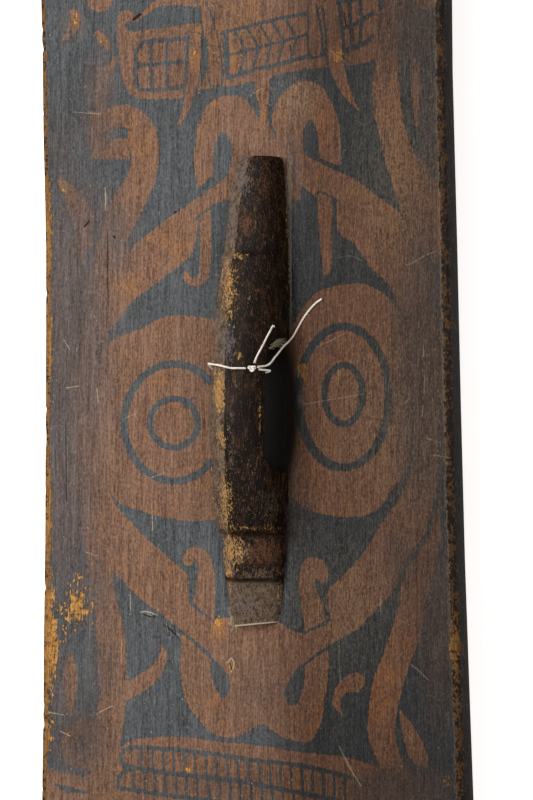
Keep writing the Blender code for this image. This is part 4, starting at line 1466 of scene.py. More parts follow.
@dataclass(frozen=True)
class Wear:
    """Bare patches, scratches and cracks in the paint, the wear and grease on the handle, and painted
    shade, sheen and highlights.
    """

    bare: tuple = (
        (75, 20, 7, 11, 0.75), (103, 41, 8, 8, 0.6), (62, 70, 6, 6, 0.5), (60, 190, 8, 8, 0.6),
        (76, 606, 22, 30, 0.85), (80, 577, 8, 8, 0.75), (64, 620, 14, 40, 0.6), (53, 640, 9, 70, 0.9),
        (52, 730, 8, 30, 0.6), (50, 230, 7, 50, 0.5), (50, 340, 5, 60, 0.5), (49, 520, 6, 70, 0.45),
        (455, 646, 7, 28, 0.9), (457, 690, 4, 60, 0.5), (231, 666, 4, 8, 0.5), (218, 625, 7, 14, 0.7),
        (302, 370, 4.5, 11, 1.2), (120, 288, 14, 10, 0.45), (212, 100, 8, 9, 0.5), (135, 145, 18, 40, 0.12),
        (160, 245, 26, 18, 0.12), (395, 100, 14, 60, 0.3), (388, 200, 14, 40, 0.25),
        (325, 110, 14, 30, 0.3), (338, 55, 7, 9, 0.85), (230, 60, 9, 12, 0.5), (195, 58, 8, 10, 0.5),
        (200, 36, 6, 8, 0.5), (380, 690, 14, 60, 0.42), (390, 675, 9, 9, 0.6), (383, 705, 8, 20, 0.55),
        (447, 780, 8, 22, 0.6), (190, 770, 6, 6, 0.6), (66, 735, 12, 8, 0.5),
    )
    smudge: tuple = (
        (72, 340, 44, 160, 1.05), (64, 500, 40, 90, 0.95), (62, 150, 26, 60, 0.45), (78, 225, 30, 60, 0.8),
        (100, 86, 18, 34, 0.9), (74, 24, 16, 22, 0.6), (105, 42, 12, 12, 0.6), (424, 370, 34, 170, 1),
        (438, 620, 26, 120, 0.8), (432, 120, 20, 120, 0.7), (112, 235, 26, 50, 0.8),
        (262, 690, 50, 40, 0.35), (80, 740, 34, 44, 0.8), (92, 590, 26, 50, 0.8), (410, 30, 36, 60, 0.8),
        (98, 135, 22, 30, 0.7), (400, 790, 60, 30, 0.9), (292, 170, 9, 50, 0.7), (300, 520, 16, 40, 0.5),
        (405, 560, 36, 60, 0.6), (105, 660, 22, 60, 0.6), (60, 690, 20, 60, 0.6),
    )
    # Painted shade, with some grease, on the board under and beside the grip's finger hole.
    shade_and_grease: tuple = (
        (274, 412, 21, 80, 1.6), (292, 440, 12, 60, 0.5), (284, 520, 9, 50, 0.4),
    )
    grime: tuple = (
        (240, 785, 150, 34, 0.8), (190, 62, 90, 50, 0.45), (320, 40, 90, 40, 0.6), (80, 740, 40, 50, 0.6),
        (400, 780, 60, 50, 0.5), (298, 430, 14, 80, 0.7), (90, 130, 60, 60, 0.3), (262, 690, 60, 60, 0.35),
    )
    dust: tuple = (
        (289.5, 190, 3, 40, 0.6), (290, 260, 2.5, 80, 0.6), (300, 100, 24, 26, 0.3), (291, 570, 3, 60, 0.2),
        (292, 470, 10, 40, 0.35), (232, 615, 5, 20, 0.5), (300, 400, 3, 8, 0.5), (390, 170, 50, 120, 0.25),
        (345, 600, 60, 90, 0.22), (380, 420, 60, 120, 0.2),
    )
    # Tan wear on the handle; the thin spot along the grip's right arris is a painted highlight.
    tan: tuple = (
        (230, 290, 9, 38, 0.9), (219, 392, 7, 26, 1.1), (221, 440, 6, 14, 0.8), (226, 500, 9, 36, 0.8),
        (240, 356, 3.5, 4, 1.2), (235, 548, 14, 22, 0.9), (238, 256, 12, 4, 0.8), (229, 575, 4, 14, 0.9),
        (259.5, 412, 1.6, 36, 0.85), (250, 300, 3, 24, 0.5), (287, 200, 2.5, 60, 0.7),
        (276, 222, 5, 5, 0.5), (252, 528, 36, 3, 0.7), (280, 595, 4, 24, 0.7), (282, 246, 6, 4, 0.4),
        (250, 485, 22, 60, 0.28),
    )
    red: tuple = (
        (246, 222, 14, 18, 0.8), (266, 190, 18, 50, 0.5), (262, 300, 26, 40, 0.3), (263, 551, 24, 20, 0.9),
    )
    # Painted sheen: grey patches where the handle's arris catches the light.
    painted_sheen: tuple = (
        (244, 178, 7, 26, 0.9), (233, 225, 5, 30, 0.9), (228, 342, 8, 26, 0.9), (245, 605, 16, 16, 0.7),
        (231, 450, 3, 60, 0.5), (240, 158, 10, 4, 0.8),
    )
    raw: tuple = (
        (240, 552, 22, 17, 0.6), (256, 602, 32, 27, 1.4), (270, 505, 20, 24, 0.4),
    )
    scratches: tuple = (
        ((405, 265, 0.3), (412, 263, 0.5), (424, 256, 0.5), (436, 250.7, 0.3)),
        ((305, 404, 0.2), (340, 398, 0.4), (371, 393, 0.2)),
        ((316, 347, 0.25), (330, 341, 0.45), (345, 333, 0.3)),
        ((423, 345, 0.2), (423.3, 352, 0.5), (422.5, 360, 0.2)),
        ((424, 369, 0.2), (424.4, 382, 0.45), (424, 395, 0.2)), ((423, 405, 0.3), (422, 416, 0.5)),
        ((338, 356, 0.2), (338.4, 374, 0.4), (338, 386, 0.2)), ((426, 438, 0.4), (441, 443, 0.2)),
        ((434, 455, 0.4), (450, 458, 0.4)), ((404, 404, 0.2), (410, 398, 0.4)),
        ((212, 497, 0.3), (218, 505, 0.3)), ((152, 510, 0.2), (152.6, 530, 0.5)),
        ((97, 388, 0.4), (98, 402, 0.4)), ((64, 340, 0.3), (70, 350, 0.3)),
        ((66, 388, 0.3), (78, 386, 0.3)), ((86, 552, 0.3), (97, 556, 0.3)),
        ((130, 592, 0.3), (130.5, 610, 0.3)), ((122, 640, 0.3), (121, 662, 0.3)),
        ((250, 96, 0.2), (262, 88, 0.3)), ((405, 730, 0.3), (412, 742, 0.3)),
        ((318, 600, 0.2), (318.4, 622, 0.3)), ((380, 590, 0.2), (380.6, 612, 0.4)),
        ((378, 366, 0.3), (384, 358, 0.4)), ((411, 664.5, 0.5), (418, 670, 0.6), (428, 680, 0.3)),
        ((339.4, 641, 0.35), (339.2, 662, 0.2), (340.5, 682, 0.3)),
        ((339, 746, 0.45), (345, 758, 0.75), (350, 768, 0.8), (361, 786, 0.5)),
        ((105, 188, 0.4), (105.6, 196, 0.6), (105, 210, 0.4)), ((121, 420, 0.2), (135, 414, 0.25)),
        ((150, 478, 0.25), (164, 473, 0.2)), ((336, 258, 0.2), (352, 256, 0.4), (362, 261, 0.3)),
        ((140, 612, 0.4), (147, 611.5, 0.7), (157, 615, 0.4)), ((148, 614, 0.5), (153, 617, 0.4)),
        ((166, 621, 0.3), (168, 631, 0.4), (170, 638, 0.2)), ((171, 619, 0.3), (173, 625, 0.3)),
        ((175, 631, 0.2), (180, 636, 0.4)),
        ((227, 663, 0.5), (231.5, 658, 0.6), (234, 664, 0.7), (231, 672, 0.6)),
        ((75, 112, 0.2), (100, 114, 0.3)), ((355, 120, 0.2), (362, 124, 0.3)),
        ((390, 155, 0.2), (397, 150, 0.4)), ((48, 712, 0.4), (64, 715, 0.4)),
        ((96, 714, 0.3), (112, 706, 0.4)), ((60, 731, 0.3), (70, 736, 0.5)),
        ((330, 50, 0.5), (345, 62, 0.4)), ((298, 367, 0.8), (299, 372, 1.1), (298, 377, 0.7)),
        ((345, 560, 0.2), (352, 548, 0.3)),
    )
    cracks: tuple = (
        ((108, 229, 0.1), (107.6, 268, 0.35), (108.4, 307, 0.1)), ((66, 420, 0.1), (66.5, 500, 0.3)),
        ((143, 614.5, 0.2), (150, 616.5, 0.5), (156, 617, 0.2)),
        ((164, 625, 0.2), (171, 630, 0.5), (178, 638, 0.2)), ((167, 622, 0.2), (169.5, 636, 0.5)),
        ((173, 622, 0.2), (176, 633, 0.4)), ((133, 20, 0.9), (137, 17, 1.5), (141, 14, 0.8)),
        ((84, 227, 0.4), (88, 223, 0.7), (89, 220, 0.3)), ((174, 213, 0.5), (176, 212, 0.9)),
        ((114, 236, 0.7), (115, 238, 0.8)), ((292, 240, 0.1), (292.6, 300, 0.4)),
        ((230, 663, 0.3), (232, 670, 0.4)), ((344, 12, 0.4), (346, 26, 0.6)),
        ((290, 45, 0.4), (291, 51, 0.5)),
    )

    def strength(self, spots: tuple, pixels: np.ndarray) -> np.ndarray:
        """Give the strongest of some spots at each pixel."""
        return np.max([Spot(*spot).at(pixels) for spot in spots], axis=0)

    def lines(self, chosen: tuple, pixels: np.ndarray) -> np.ndarray:
        """Give how far inside the nearest of some fine lines each pixel lies."""
        return np.max([Shape(Paint.BROWN, points, 3.0).depth(pixels) for points in chosen], axis=0)


@dataclass(frozen=True)
class Shield:
    """The whole carved piece, with what its finish needs to know written on its mesh."""

    board: BoardForm
    handle: HandleForm
    view: PhotoView
    mm_per_px: float = 0.84
    handle_rises_mm: float = 0.55
    crack_depth: float = 0.0005
    scratch_depth: float = 0.00015
    off_face: float = 0.0012
    sharp_angle: float = math.radians(38)

    def painted_rows(self, shapes: list, wear: Wear) -> np.ndarray:
        """Give the plan points along every painted edge, scratch and crack."""
        rows = [shape.edge_rows(2.2, 1.0) for shape in shapes]
        rows += [Shape(Paint.BROWN, points).edge_rows(2.2, 0.8) for points in wear.scratches + wear.cracks]
        return self.view.to_board(np.concatenate(rows))

    def level(self, places: np.ndarray) -> np.ndarray:
        """How far places stand over the board's hand side, in metres."""
        surface = self.board.floor + self.board.rise(places[:, 0] - self.board.valley_x)
        return (places[:, 2] - surface) * math.cos(self.board.fold)

    def past_arris(self, places: np.ndarray) -> np.ndarray:
        """How far places lie to the right of the handle's arris."""
        table = np.array(sorted(self.handle.sections))
        share = places[:, 1] / (self.handle.length / 2)
        crown_x = -np.interp(share, table[:, 0], table[:, 4]) * self.handle.half_width
        return places[:, 0] - self.board.valley_x - crown_x

    def along(self, places: np.ndarray) -> np.ndarray:
        """How far places lie along the handle, measured square to its cut ends."""
        down = np.clip(-places[:, 1] / (self.handle.length / 2), 0, 1)
        return places[:, 1] - self.handle.end_slant * down**8 * (places[:, 0] - self.board.valley_x)

    def rim_distance(self, places: np.ndarray) -> np.ndarray:
        """How far places lie inside the plan outline."""
        rows = self.board.rows()
        x = places[:, 0] - self.board.valley_x
        left = np.interp(places[:, 1], rows[:, 0], rows[:, 1])
        right = np.interp(places[:, 1], rows[:, 0], rows[:, 2])
        return np.minimum.reduce([x + left, right - x, self.board.length / 2 - np.abs(places[:, 1])])

    def build(self, materials: list) -> bpy.types.Object:
        """Make the shield.

        Args:
            materials: the finishes of the plank and of the handle.

        Returns:
            The piece.
        """
        shapes, wear = Ornament().shapes(), Wear()
        handle = Handle(self.board, self.handle).build()
        board = Board(self.board).build(self.painted_rows(shapes, wear))
        piece = combine(board, handle, "UNION", "carved_shield")
        mesh = piece.data
        places = np.zeros(len(mesh.vertices) * 3)
        mesh.vertices.foreach_get("co", places)
        places = places.reshape(-1, 3)
        pixels = self.view.to_photo(places)
        level = self.level(places)
        on_face = np.abs(level) < self.off_face
        cracks, scratches, paint = (np.full(len(places), none) for none in (-3.0, -3.0, -9.0))
        cracks[on_face] = wear.lines(wear.cracks, pixels[on_face])
        scratches[on_face] = wear.lines(wear.scratches, pixels[on_face])
        for shape in shapes:
            choose = np.maximum if shape.paint is Paint.BROWN else np.minimum
            depth = shape.depth(pixels[on_face]) * shape.paint.value
            paint[on_face] = choose(paint[on_face], depth)
        sunk = np.clip(cracks + 0.3, 0, 1) * self.crack_depth + np.clip(scratches + 0.3, 0,
                                                                        1) * self.scratch_depth
        places[:, 2] -= sunk
        mesh.vertices.foreach_set("co", places.ravel())
        facts = {
            "paint_mm": paint * self.mm_per_px,
            "level_mm": level / MM,
            "rim_mm": self.rim_distance(places) / MM,
            "arris_mm": self.past_arris(places) / MM,
            "along_mm": self.along(places) / MM,
            "scratch": scratches,
            "crack": cracks,
        }
        for name in ("bare", "smudge", "shade_and_grease", "grime", "dust", "tan", "red", "painted_sheen", "raw"):
            facts[name] = wear.strength(getattr(wear, name), pixels)
        for name, values in facts.items():
            kept = mesh.attributes.new(name, "FLOAT", "POINT")
            kept.data.foreach_set("value", np.asarray(values, np.float32))
        mesh.materials.clear()
        for material in materials:
            mesh.materials.append(material)
        centres = np.zeros(len(mesh.polygons) * 3)
        mesh.polygons.foreach_get("center", centres)
        rises = self.level(centres.reshape(-1, 3)) / MM > self.handle_rises_mm
        mesh.polygons.foreach_set("material_index", rises.astype(np.int32))
        mesh.shade_smooth()
        mesh.set_sharp_from_angle(angle=self.sharp_angle)
        mesh.update()
        return piece


def linear(colour: str) -> tuple[float, float, float, float]:
    """Turn an sRGB hex colour to linear red, green, blue and alpha."""
    values = [int(colour[k : k + 2], 16) / 255 for k in (1, 3, 5)]
    return (*(v / 12.92 if v <= 0.04045 else ((v + 0.055) / 1.055) ** 2.4 for v in values), 1.0)


@dataclass(frozen=True)
class Finish:
    """What the finishes share: a name and the way their last nodes are joined."""

    name: str

    def started(self) -> NodeWriter:
        """Make the material and give what writes its nodes."""
        material = bpy.data.materials.new(self.name)
        material.use_nodes = True
        return NodeWriter(material.node_tree)

    def finished(self, nodes: NodeWriter, shader: dict, height: object, strength: float,
                 depth_mm: float) -> bpy.types.Material:
        """Feed the shader, with a bump where the surface has one.

        Args:
            nodes: what has written the material's nodes.
            shader: what goes in the shader's inputs, by name.
            height: the output that the bump follows, or None.
            strength: the bump's strength.
            depth_mm: the bump's depth.

        Returns:
            The material.
        """
        if height is not None:
            shader = {**shader, "Normal": nodes.add(Kind.BUMP, height, strength, depth_mm * MM)}
        nodes.feed(nodes.tree.nodes["Principled BSDF"], shader)
        return bpy.data.materials[self.name]


@dataclass(frozen=True)
class PaintedPlank(Finish):
    """Jelutong plank with brushed earth and soot paints: matt, worn through along its grain."""

    name: str = "Jelutong plank with worn brushed paint"
    brown_dark: str = "#452f24"
    brown_light: str = "#98745e"
    thin_brown: str = "#a06f45"
    blue_dark: str = "#27292c"
    blue_light: str = "#666869"
    purple_dark: str = "#382e2b"
    purple_light: str = "#756660"
    wood_dark: str = "#5b3e24"
    wood_light: str = "#c38d4a"
    stain: str = "#22170f"
    shade_and_crack_black: str = "#0e0704"
    pore: str = "#2b221d"
    dusty: str = "#a5977f"
    shade_on_brown: str = "#b2a59c"
    shade_on_blue: str = "#8b8a89"

    def build(self) -> bpy.types.Material:
        """Make the material."""
        nodes = self.started()
        add, total = nodes.add, nodes.total
        fact = nodes.facts("level_mm", "rim_mm", "paint_mm", "smudge", "bare", "grime", "dust", "scratch",
                           "shade_and_grease", "crack")
        # Grain and pores are drawn about three times coarser than real, so that they show at arm's length.
        grain = nodes.noise((0.9, 18, 0.9), 4.0)
        streak = nodes.noise((3.0, 80, 3.0), 3.0)
        cloud = nodes.noise((34, 48, 34), 4.0)
        blot = nodes.noise((9, 15, 9), 4.0)
        speck = nodes.noise((1.6, 2.6, 1.6), 3.0)
        chip = nodes.noise((4.2, 6.0, 4.2), 5.0)
        dash = nodes.noise((0.7, 6.5, 0.7), 2.0)
        level, rim, paint = fact["level_mm"], fact["rim_mm"], fact["paint_mm"]
        smudge = add(Kind.RAMP, fact["smudge"], 0.05, 0.85)
        across = add(Kind.ACROSS, add(Kind.PLACE))
        # The right half, which is painted darker as shade.
        shaded_right_half = add(Kind.RAMP, across, -0.03, 0.055)
        # Where hands have rubbed both paints together, the forms have no sharp edge.
        edge = total(((paint, 1.0), (speck, 1.8), (grain, 1.8)), -1.8)
        loose = total(((blot, 13.0), (cloud, 6.0)), -9.5)
        edge = total(((smudge, loose), (edge, 1.0)))
        soft = total(((smudge, 5.0),), 1.0)
        edge = add(Kind.MATH, edge, soft, operation="DIVIDE")
        brown = add(Kind.RAMP, edge, -0.45, 0.45)
        tone = total(((grain, 0.55), (dash, 0.3), (streak, 0.4), (speck, 0.6)), -0.425)
        tone = add(Kind.RAMP, tone, 0.2, 0.8)
        blues = add(Kind.MIX, tone, self.blue_dark, self.blue_light)
        plain = add(Kind.MIX, tone, self.brown_dark, self.brown_light)
        # Where the brush ran thin, in clouds and here and there at a form's edge, wood warms the brown.
        thin = total(((cloud, 1.2), (blot, 0.8), (grain, 0.8), (dash, 0.6), (speck, 1.0),
                      (add(Kind.RAMP, paint, 3.5, 0.3), 0.07), (fact["bare"], 0.8)))
        browns = add(Kind.MIX, add(Kind.RAMP, thin, 2.22, 2.70, 0.0, 0.85), plain, self.thin_brown)
        coat = add(Kind.MIX, brown, blues, browns)
        purple = add(Kind.MIX, tone, self.purple_dark, self.purple_light)
        coat = add(Kind.MIX, total(((smudge, add(Kind.RAMP, blot, 0.25, 0.65, 0.6, 0.95)),)), coat, purple)
        grimy = total(((add(Kind.RAMP, cloud, 0.35, 0.8), 0.25), (fact["grime"], 0.45)))
        coat = add(Kind.MIX, grimy, coat, self.pore)
        pores = add(Kind.RAMP, total(((dash, 0.6), (speck, 0.5))), 0.44, 0.30, 0.0, 0.75)
        coat = add(Kind.MIX, pores, coat, self.pore)
        left = add(Kind.RAMP, across, 0.02, -0.02)
        near_rim = total(((add(Kind.RAMP, rim, 0.3, 7.5, 0.33, 0.0), left),
                          (add(Kind.RAMP, rim, 2.0, 12.0, 0.10, 0.0), 1.0)))
        worn = total(((chip, 0.75), (grain, 0.28), (dash, 0.2), (speck, 0.22),
                      (fact["bare"], 0.40), (near_rim, 1.0), (brown, 0.02)))
        bare = add(Kind.RAMP, worn, 1.00, 1.04)
        fresh = add(Kind.RAMP, total(((grain, 0.5), (speck, 0.5), (chip, 0.4))), 0.54, 0.86)
        wood = add(Kind.MIX, fresh, self.wood_dark, self.wood_light)
        # Along the rim years of handling have browned the bare wood.
        handled = total(((add(Kind.RAMP, rim, 9.0, 6.0, 0.0, 0.72), 1.0), (fact["bare"], -0.6)))
        wood = add(Kind.MIX, add(Kind.RAMP, handled, 0.0, 1.0), wood, self.wood_dark)
        # The edge of a chip holds dirt.
        lip = total(((add(Kind.RAMP, worn, 0.96, 1.0), 0.45), (bare, -0.45)))
        coat = add(Kind.MIX, lip, coat, self.stain)
        colour = add(Kind.MIX, bare, coat, wood)
        # The arris is knocked off in chips, in a wider strip on the right.
        strip = add(Kind.RAMP, across, -0.05, 0.05, 3.2, 6.2)
        inwards = add(Kind.MATH, rim, strip, operation="DIVIDE")
        knocked = add(Kind.RAMP, total(((inwards, 1.0), (speck, 0.5), (chip, 0.9)), -0.7), 1.08, 0.94)
        side = add(Kind.RAMP, total(((level, 1.0), (speck, 1.5), (chip, 2.0)), -1.75), -0.9, -1.7)
        side = add(Kind.MATH, side, knocked, operation="MAXIMUM")
        flecks = total(((speck, 0.6), (chip, 0.5), (blot, 0.5), (left, 0.06), (fact["bare"], 0.12),
                        (add(Kind.RAMP, level, -7.0, -0.5), 0.13),
                        (add(Kind.RAMP, inwards, 0.2, 0.9), 0.05)))
        flecks = add(Kind.RAMP, flecks, 0.93, 1.02)
        dust = total(((fact["dust"], 0.9), (speck, 0.7), (dash, 0.7), (grain, 0.5), (shaded_right_half, 0.10)))
        lint = total(((add(Kind.RAMP, inwards, 1.6, 1.0, 0.0, 0.28), shaded_right_half), (dust, 1.0)))
        colour = add(Kind.MIX, add(Kind.RAMP, lint, 1.08, 1.55, 0.0, 0.6), colour, self.dusty)
        colour = add(Kind.MIX, side, colour, add(Kind.MIX, flecks, self.stain, wood))
        # Specks of lint and lime lie everywhere, most of all in the right half.
        lime = nodes.noise((1.3, 2.6, 1.3), 1.0)
        lime = add(Kind.RAMP, total(((lime, 1.0), (cloud, 0.15), (shaded_right_half, 0.03))), 0.80, 0.86, 0.0, 0.75)
        colour = add(Kind.MIX, lime, colour, self.dusty)
        scratch = add(Kind.RAMP, total(((fact["scratch"], 1.0), (speck, 1.2)), -0.6), -0.4, 0.3, 0.0, 0.8)
        colour = add(Kind.MIX, scratch, colour, self.dusty)
        # Painted shade and grease under the grip, and the cracks, are mixed to near black.
        shade_and_grease = total(((fact["shade_and_grease"], 1.0), (speck, 0.5), (grain, 0.5)), -0.5)
        shade_and_grease = add(Kind.RAMP, shade_and_grease, 0.15, 0.7, 0.0, 0.95)
        crack = add(Kind.RAMP, total(((fact["crack"], 1.0), (speck, 1.0)), -0.5), -0.5, 0.2, 0.0, 0.9)
        dark = add(Kind.MATH, shade_and_grease, crack, operation="MAXIMUM")
        colour = add(Kind.MIX, dark, colour, self.shade_and_crack_black)
        # The right half is darkened with painted shade, and its soot paint the most.
        share = add(Kind.VALUES, smudge, brown, 0.6)
        painted_shade = add(Kind.MIX, share, self.shade_on_blue, self.shade_on_brown)
        shaded = add(Kind.MIX, 1.0, colour, painted_shade, blend_type="MULTIPLY")
        colour = add(Kind.MIX, shaded_right_half, colour, shaded)
        # The outer face is brushed all over in plain brown, with a border of soot and a few scuffs.
        outer = total(((add(Kind.RAMP, level, -11.0, -12.5), add(Kind.RAMP, rim, 1.5, 3.0)),))
        border = add(Kind.RAMP, total(((rim, 1.0), (chip, 5.0)), -2.5), 16.0, 14.5, 0.0, 0.9)
        plain = add(Kind.MIX, border, plain, self.stain)
        scuffs = add(Kind.RAMP, total(((chip, 0.7), (blot, 0.5), (grain, 0.3), (speck, 0.3))), 1.12, 1.17)
        colour = add(Kind.MIX, outer, colour, add(Kind.MIX, scuffs, plain, wood))
        rough = add(Kind.RAMP, total(((speck, 0.5), (bare, 0.5))), 0.1, 0.9, 0.55, 0.8)
        height = total(((grain, 1.0), (dash, 0.8), (bare, -0.5), (dark, -0.6), (chip, 0.4)))
        shader = {"Base Color": colour, "Roughness": rough, "Specular IOR Level": 0.09}
        return self.finished(nodes, shader, height, 0.8, 0.5)


@dataclass(frozen=True)
class GreasedHandle(Finish):
    """Bare carved wood, dark and half polished by hands, rubbed to the pale wood on its arris, with painted
    sheen, highlight and light on its left flat.
    """

    name: str = "Carved wood polished by hand grease"
    dark: str = "#0f0905"
    mid: str = "#5a3e29"
    red: str = "#5c3a25"
    facet_dark: str = "#2d231e"
    facet_light: str = "#7a6552"
    raw_dark: str = "#241a13"
    raw_light: str = "#786350"
    tan: str = "#7d5f3d"
    orange: str = "#b5894f"
    painted_sheen: str = "#645c5a"
    pale: str = "#b8ad95"

    def build(self) -> bpy.types.Material:
        """Make the material."""
        nodes = self.started()
        add, total = nodes.add, nodes.total
        fact = nodes.facts("along_mm", "arris_mm", "raw", "painted_sheen", "red", "tan")
        grain = nodes.noise((0.7, 13, 0.7), 4.0)
        mottle = nodes.noise((6, 16, 6), 4.0)
        speck = nodes.noise((1.3, 2.0, 1.3), 4.0)
        chip = nodes.noise((3.2, 5.5, 3.2), 5.0)
        along = fact["along_mm"]
        ragged = total(((speck, 0.7), (grain, 0.5), (chip, 0.6)), -0.9)
        tone = total(((grain, 0.9), (mottle, 0.7), (speck, 0.5)), -0.55)
        colour = add(Kind.MIX, add(Kind.RAMP, tone, 0.44, 0.92), self.dark, self.mid)
        # The flat left of the arris has lost its grease and is brown, mottled and dull, and painted lighter
        # where it faces the light.
        beside = total(((fact["arris_mm"], -1.0), (ragged, 5.0)), -0.8)
        flat = add(Kind.RAMP, beside, -0.5, 0.9)
        mottled = add(Kind.RAMP, total(((mottle, 0.4), (speck, 0.6), (chip, 0.5))), 0.55, 0.95)
        worn_and_lit_facet = add(Kind.MIX, mottled, self.facet_dark, self.facet_light)
        colour = add(Kind.MIX, add(Kind.MATH, flat, 0.85, operation="MULTIPLY"), colour, worn_and_lit_facet)
        # Below the last notch the wood is broken and never took the grease.
        raw = add(Kind.RAMP, total(((fact["raw"], 1.0), (ragged, 1.2))), 0.25, 0.75, 0.0, 0.9)
        broken = add(Kind.RAMP, total(((grain, 0.6), (speck, 0.5), (chip, 0.45))), 0.58, 0.98)
        broken = add(Kind.MIX, broken, self.raw_dark, self.raw_light)
        colour = add(Kind.MIX, raw, colour, broken)
        # Grey patches of painted sheen along the arris, and red scuffs.
        for name, tint, weight in (("painted_sheen", self.painted_sheen, 0.65), ("red", self.red, 0.75)):
            mask = add(Kind.RAMP, total(((fact[name], 1.0), (ragged, 3.2))), 0.3, 1.1, 0.0, weight)
            colour = add(Kind.MIX, mask, colour, tint)
        # Tan wear rubbed through the grease, with a painted highlight along the grip's right arris.
        rubbed_and_highlit = total(((fact["tan"], 1.0), (ragged, 2.6), (flat, 0.12)))
        worn = add(Kind.RAMP, rubbed_and_highlit, 0.50, 1.05)
        bright = add(Kind.MIX, add(Kind.RAMP, speck, 0.42, 0.68), self.tan, self.orange)
        colour = add(Kind.MIX, worn, colour, bright)
        # Fresh wood shows in a line along the lower end's edge.
        line = total(((along, 1.0), (speck, 1.6)), -0.8)
        cut = add(Kind.RAMP, line, -194.2, -195.2, 0.0, 0.75)
        colour = add(Kind.MIX, cut, colour, self.pale)
        torn = total(((along, 1.0), (ragged, 9.0)))
        flake = total(((add(Kind.RAMP, torn, -161.5, -158.5),
                        add(Kind.RAMP, torn, -152.0, -157.5, 0.0, 0.8)),))
        colour = add(Kind.MIX, flake, colour, self.dark)
        glints = add(Kind.RAMP, total(((speck, 0.7), (grain, 0.7))), 0.80, 0.98, 0.0, 0.5)
        colour = add(Kind.MIX, glints, colour, self.tan)
        rough = add(Kind.RAMP, total(((worn, 0.5), (flat, 0.2), (speck, 0.4))), 0.1, 0.9, 0.40, 0.7)
        height = total(((grain, 1.0), (speck, 0.7), (chip, 0.6)))
        shader = {"Base Color": colour, "Roughness": rough, "Specular IOR Level": 0.10}
        return self.finished(nodes, shader, height, 0.8, 0.8)


@dataclass(frozen=True)
class TwistedCotton(Finish):
    """Undyed cotton string, twisted from two plies: matt, off-white and a little fuzzy."""

    name: str = "Undyed twisted cotton"
    light: str = "#f2e9df"
    dark: str = "#c9b8a4"

    def build(self) -> bpy.types.Material:
        """Make the material."""
        nodes = self.started()
        fibre = nodes.noise((0.25, 0.25, 0.25), 3.0)
        soil = nodes.noise((5, 5, 5), 2.0)
        tone = nodes.total(((fibre, 0.6), (soil, 0.6)))
        colour = nodes.add(Kind.MIX, nodes.add(Kind.RAMP, tone, 0.35, 0.75), self.dark, self.light)
        return self.finished(nodes, {"Base Color": colour, "Roughness": 0.9}, fibre, 0.5, 0.1)


@dataclass(frozen=True)
class TornFibres:
    """A tuft of split fibres at the finger hole's upper end, rooted where the photograph has it."""

    view: PhotoView
    seed: int = 5
    count: int = 34
    radius: float = 0.00042
    sides: int = 3
    steps: int = 6
    sunk: float = 0.0002
    lift: float = 0.0007
    hole_depth: float = 0.0030
    left_px: tuple = (268.0, 348.5)
    right_px: tuple = (277.0, 340.5)

    def route(self, shield: BVHTree, rng: np.random.Generator) -> np.ndarray:
        """Lay one fibre over the wood, and out over the hole at the depth where the wood ended.

        Args:
            shield: the carved piece's surface.
            rng: the random numbers.

        Returns:
            (n, 3) points, empty where the fibre has no root.
        """
        eye = Vector(self.view.place())
        right, up, back = self.view.axes()
        start = np.array(self.left_px) + rng.uniform() * np.subtract(self.right_px, self.left_px)
        start += rng.normal(0, 0.7, 2)
        reach, rise = rng.uniform(5, 13), rng.normal(-0.28, 0.22)
        points, depth = [], 0.0
        for step in range(self.steps + 1):
            share = step / self.steps
            x, y = start + reach * share * np.array([1.0, rise + 0.25 * share])
            aside, above = x - PHOTO_WIDTH / 2, PHOTO_HEIGHT / 2 - y
            ray = Vector(aside * right + above * up - self.view.focal_px * back)
            ray.normalize()
            found = shield.ray_cast(eye, ray)[3]
            if found is None:
                return np.empty((0, 3))
            if step == 0 or found < depth + self.hole_depth:
                depth = found
            points.append(eye + ray * (depth + self.sunk - share * (self.lift + self.sunk)))
        return np.array(points)

    def build(self, shield: bpy.types.Object, material: bpy.types.Material) -> bpy.types.Object:
        """Make the tuft.

        Args:
            shield: the carved piece that it grows out of.
            material: its finish.

        Returns:
            The piece.
        """
        mesh = shield.data
        surface = BVHTree.FromPolygons([v.co for v in mesh.vertices],
                                       [tuple(p.vertices) for p in mesh.polygons])
        rng = np.random.default_rng(self.seed)
        places, faces, size = [], [], self.sides
        turns = np.arange(size) * 2 * math.pi / size
        for _ in range(self.count):
            route = self.route(surface, rng)
            if not len(route):
                continue
            run = route[-1] - route[0]
            run /= np.linalg.norm(run)
            aside = np.cross(run, self.view.axes()[2])
            aside /= np.linalg.norm(aside)
            over = np.cross(aside, run)
            first = len(places)
            for k, point in enumerate(route[:-1]):
                radius = self.radius * (1 - k / self.steps) ** 0.6
                places += [point + radius * (math.cos(t) * aside + 0.6 * math.sin(t) * over) for t in turns]
            places.append(route[-1])
            faces.append(tuple(first + k for k in range(size)))
            faces += bands(range(first, first + self.steps * size, size), size)
            last = first + (self.steps - 1) * size
            faces += [(last + k, len(places) - 1, last + (k + 1) % size) for k in range(size)]
        made = mesh_piece("torn_fibres", np.array(places), faces)
        made.data.materials.append(material)
        return made


@dataclass(frozen=True)
class SplitWood(Finish):
    """Split wood fibres, greyed by dust: pale, dull and a little different from one to the next."""

    name: str = "Split wood fibres"
    light: str = "#a89f7c"
    dark: str = "#5a5340"

    def build(self) -> bpy.types.Material:
        """Make the material."""
        nodes = self.started()
        tone = nodes.noise((1.0, 0.5, 0.5), 2.0)
        colour = nodes.add(Kind.MIX, nodes.add(Kind.RAMP, tone, 0.35, 0.65), self.dark, self.light)
        return self.finished(nodes, {"Base Color": colour, "Roughness": 0.85}, tone, 0.4, 0.1)


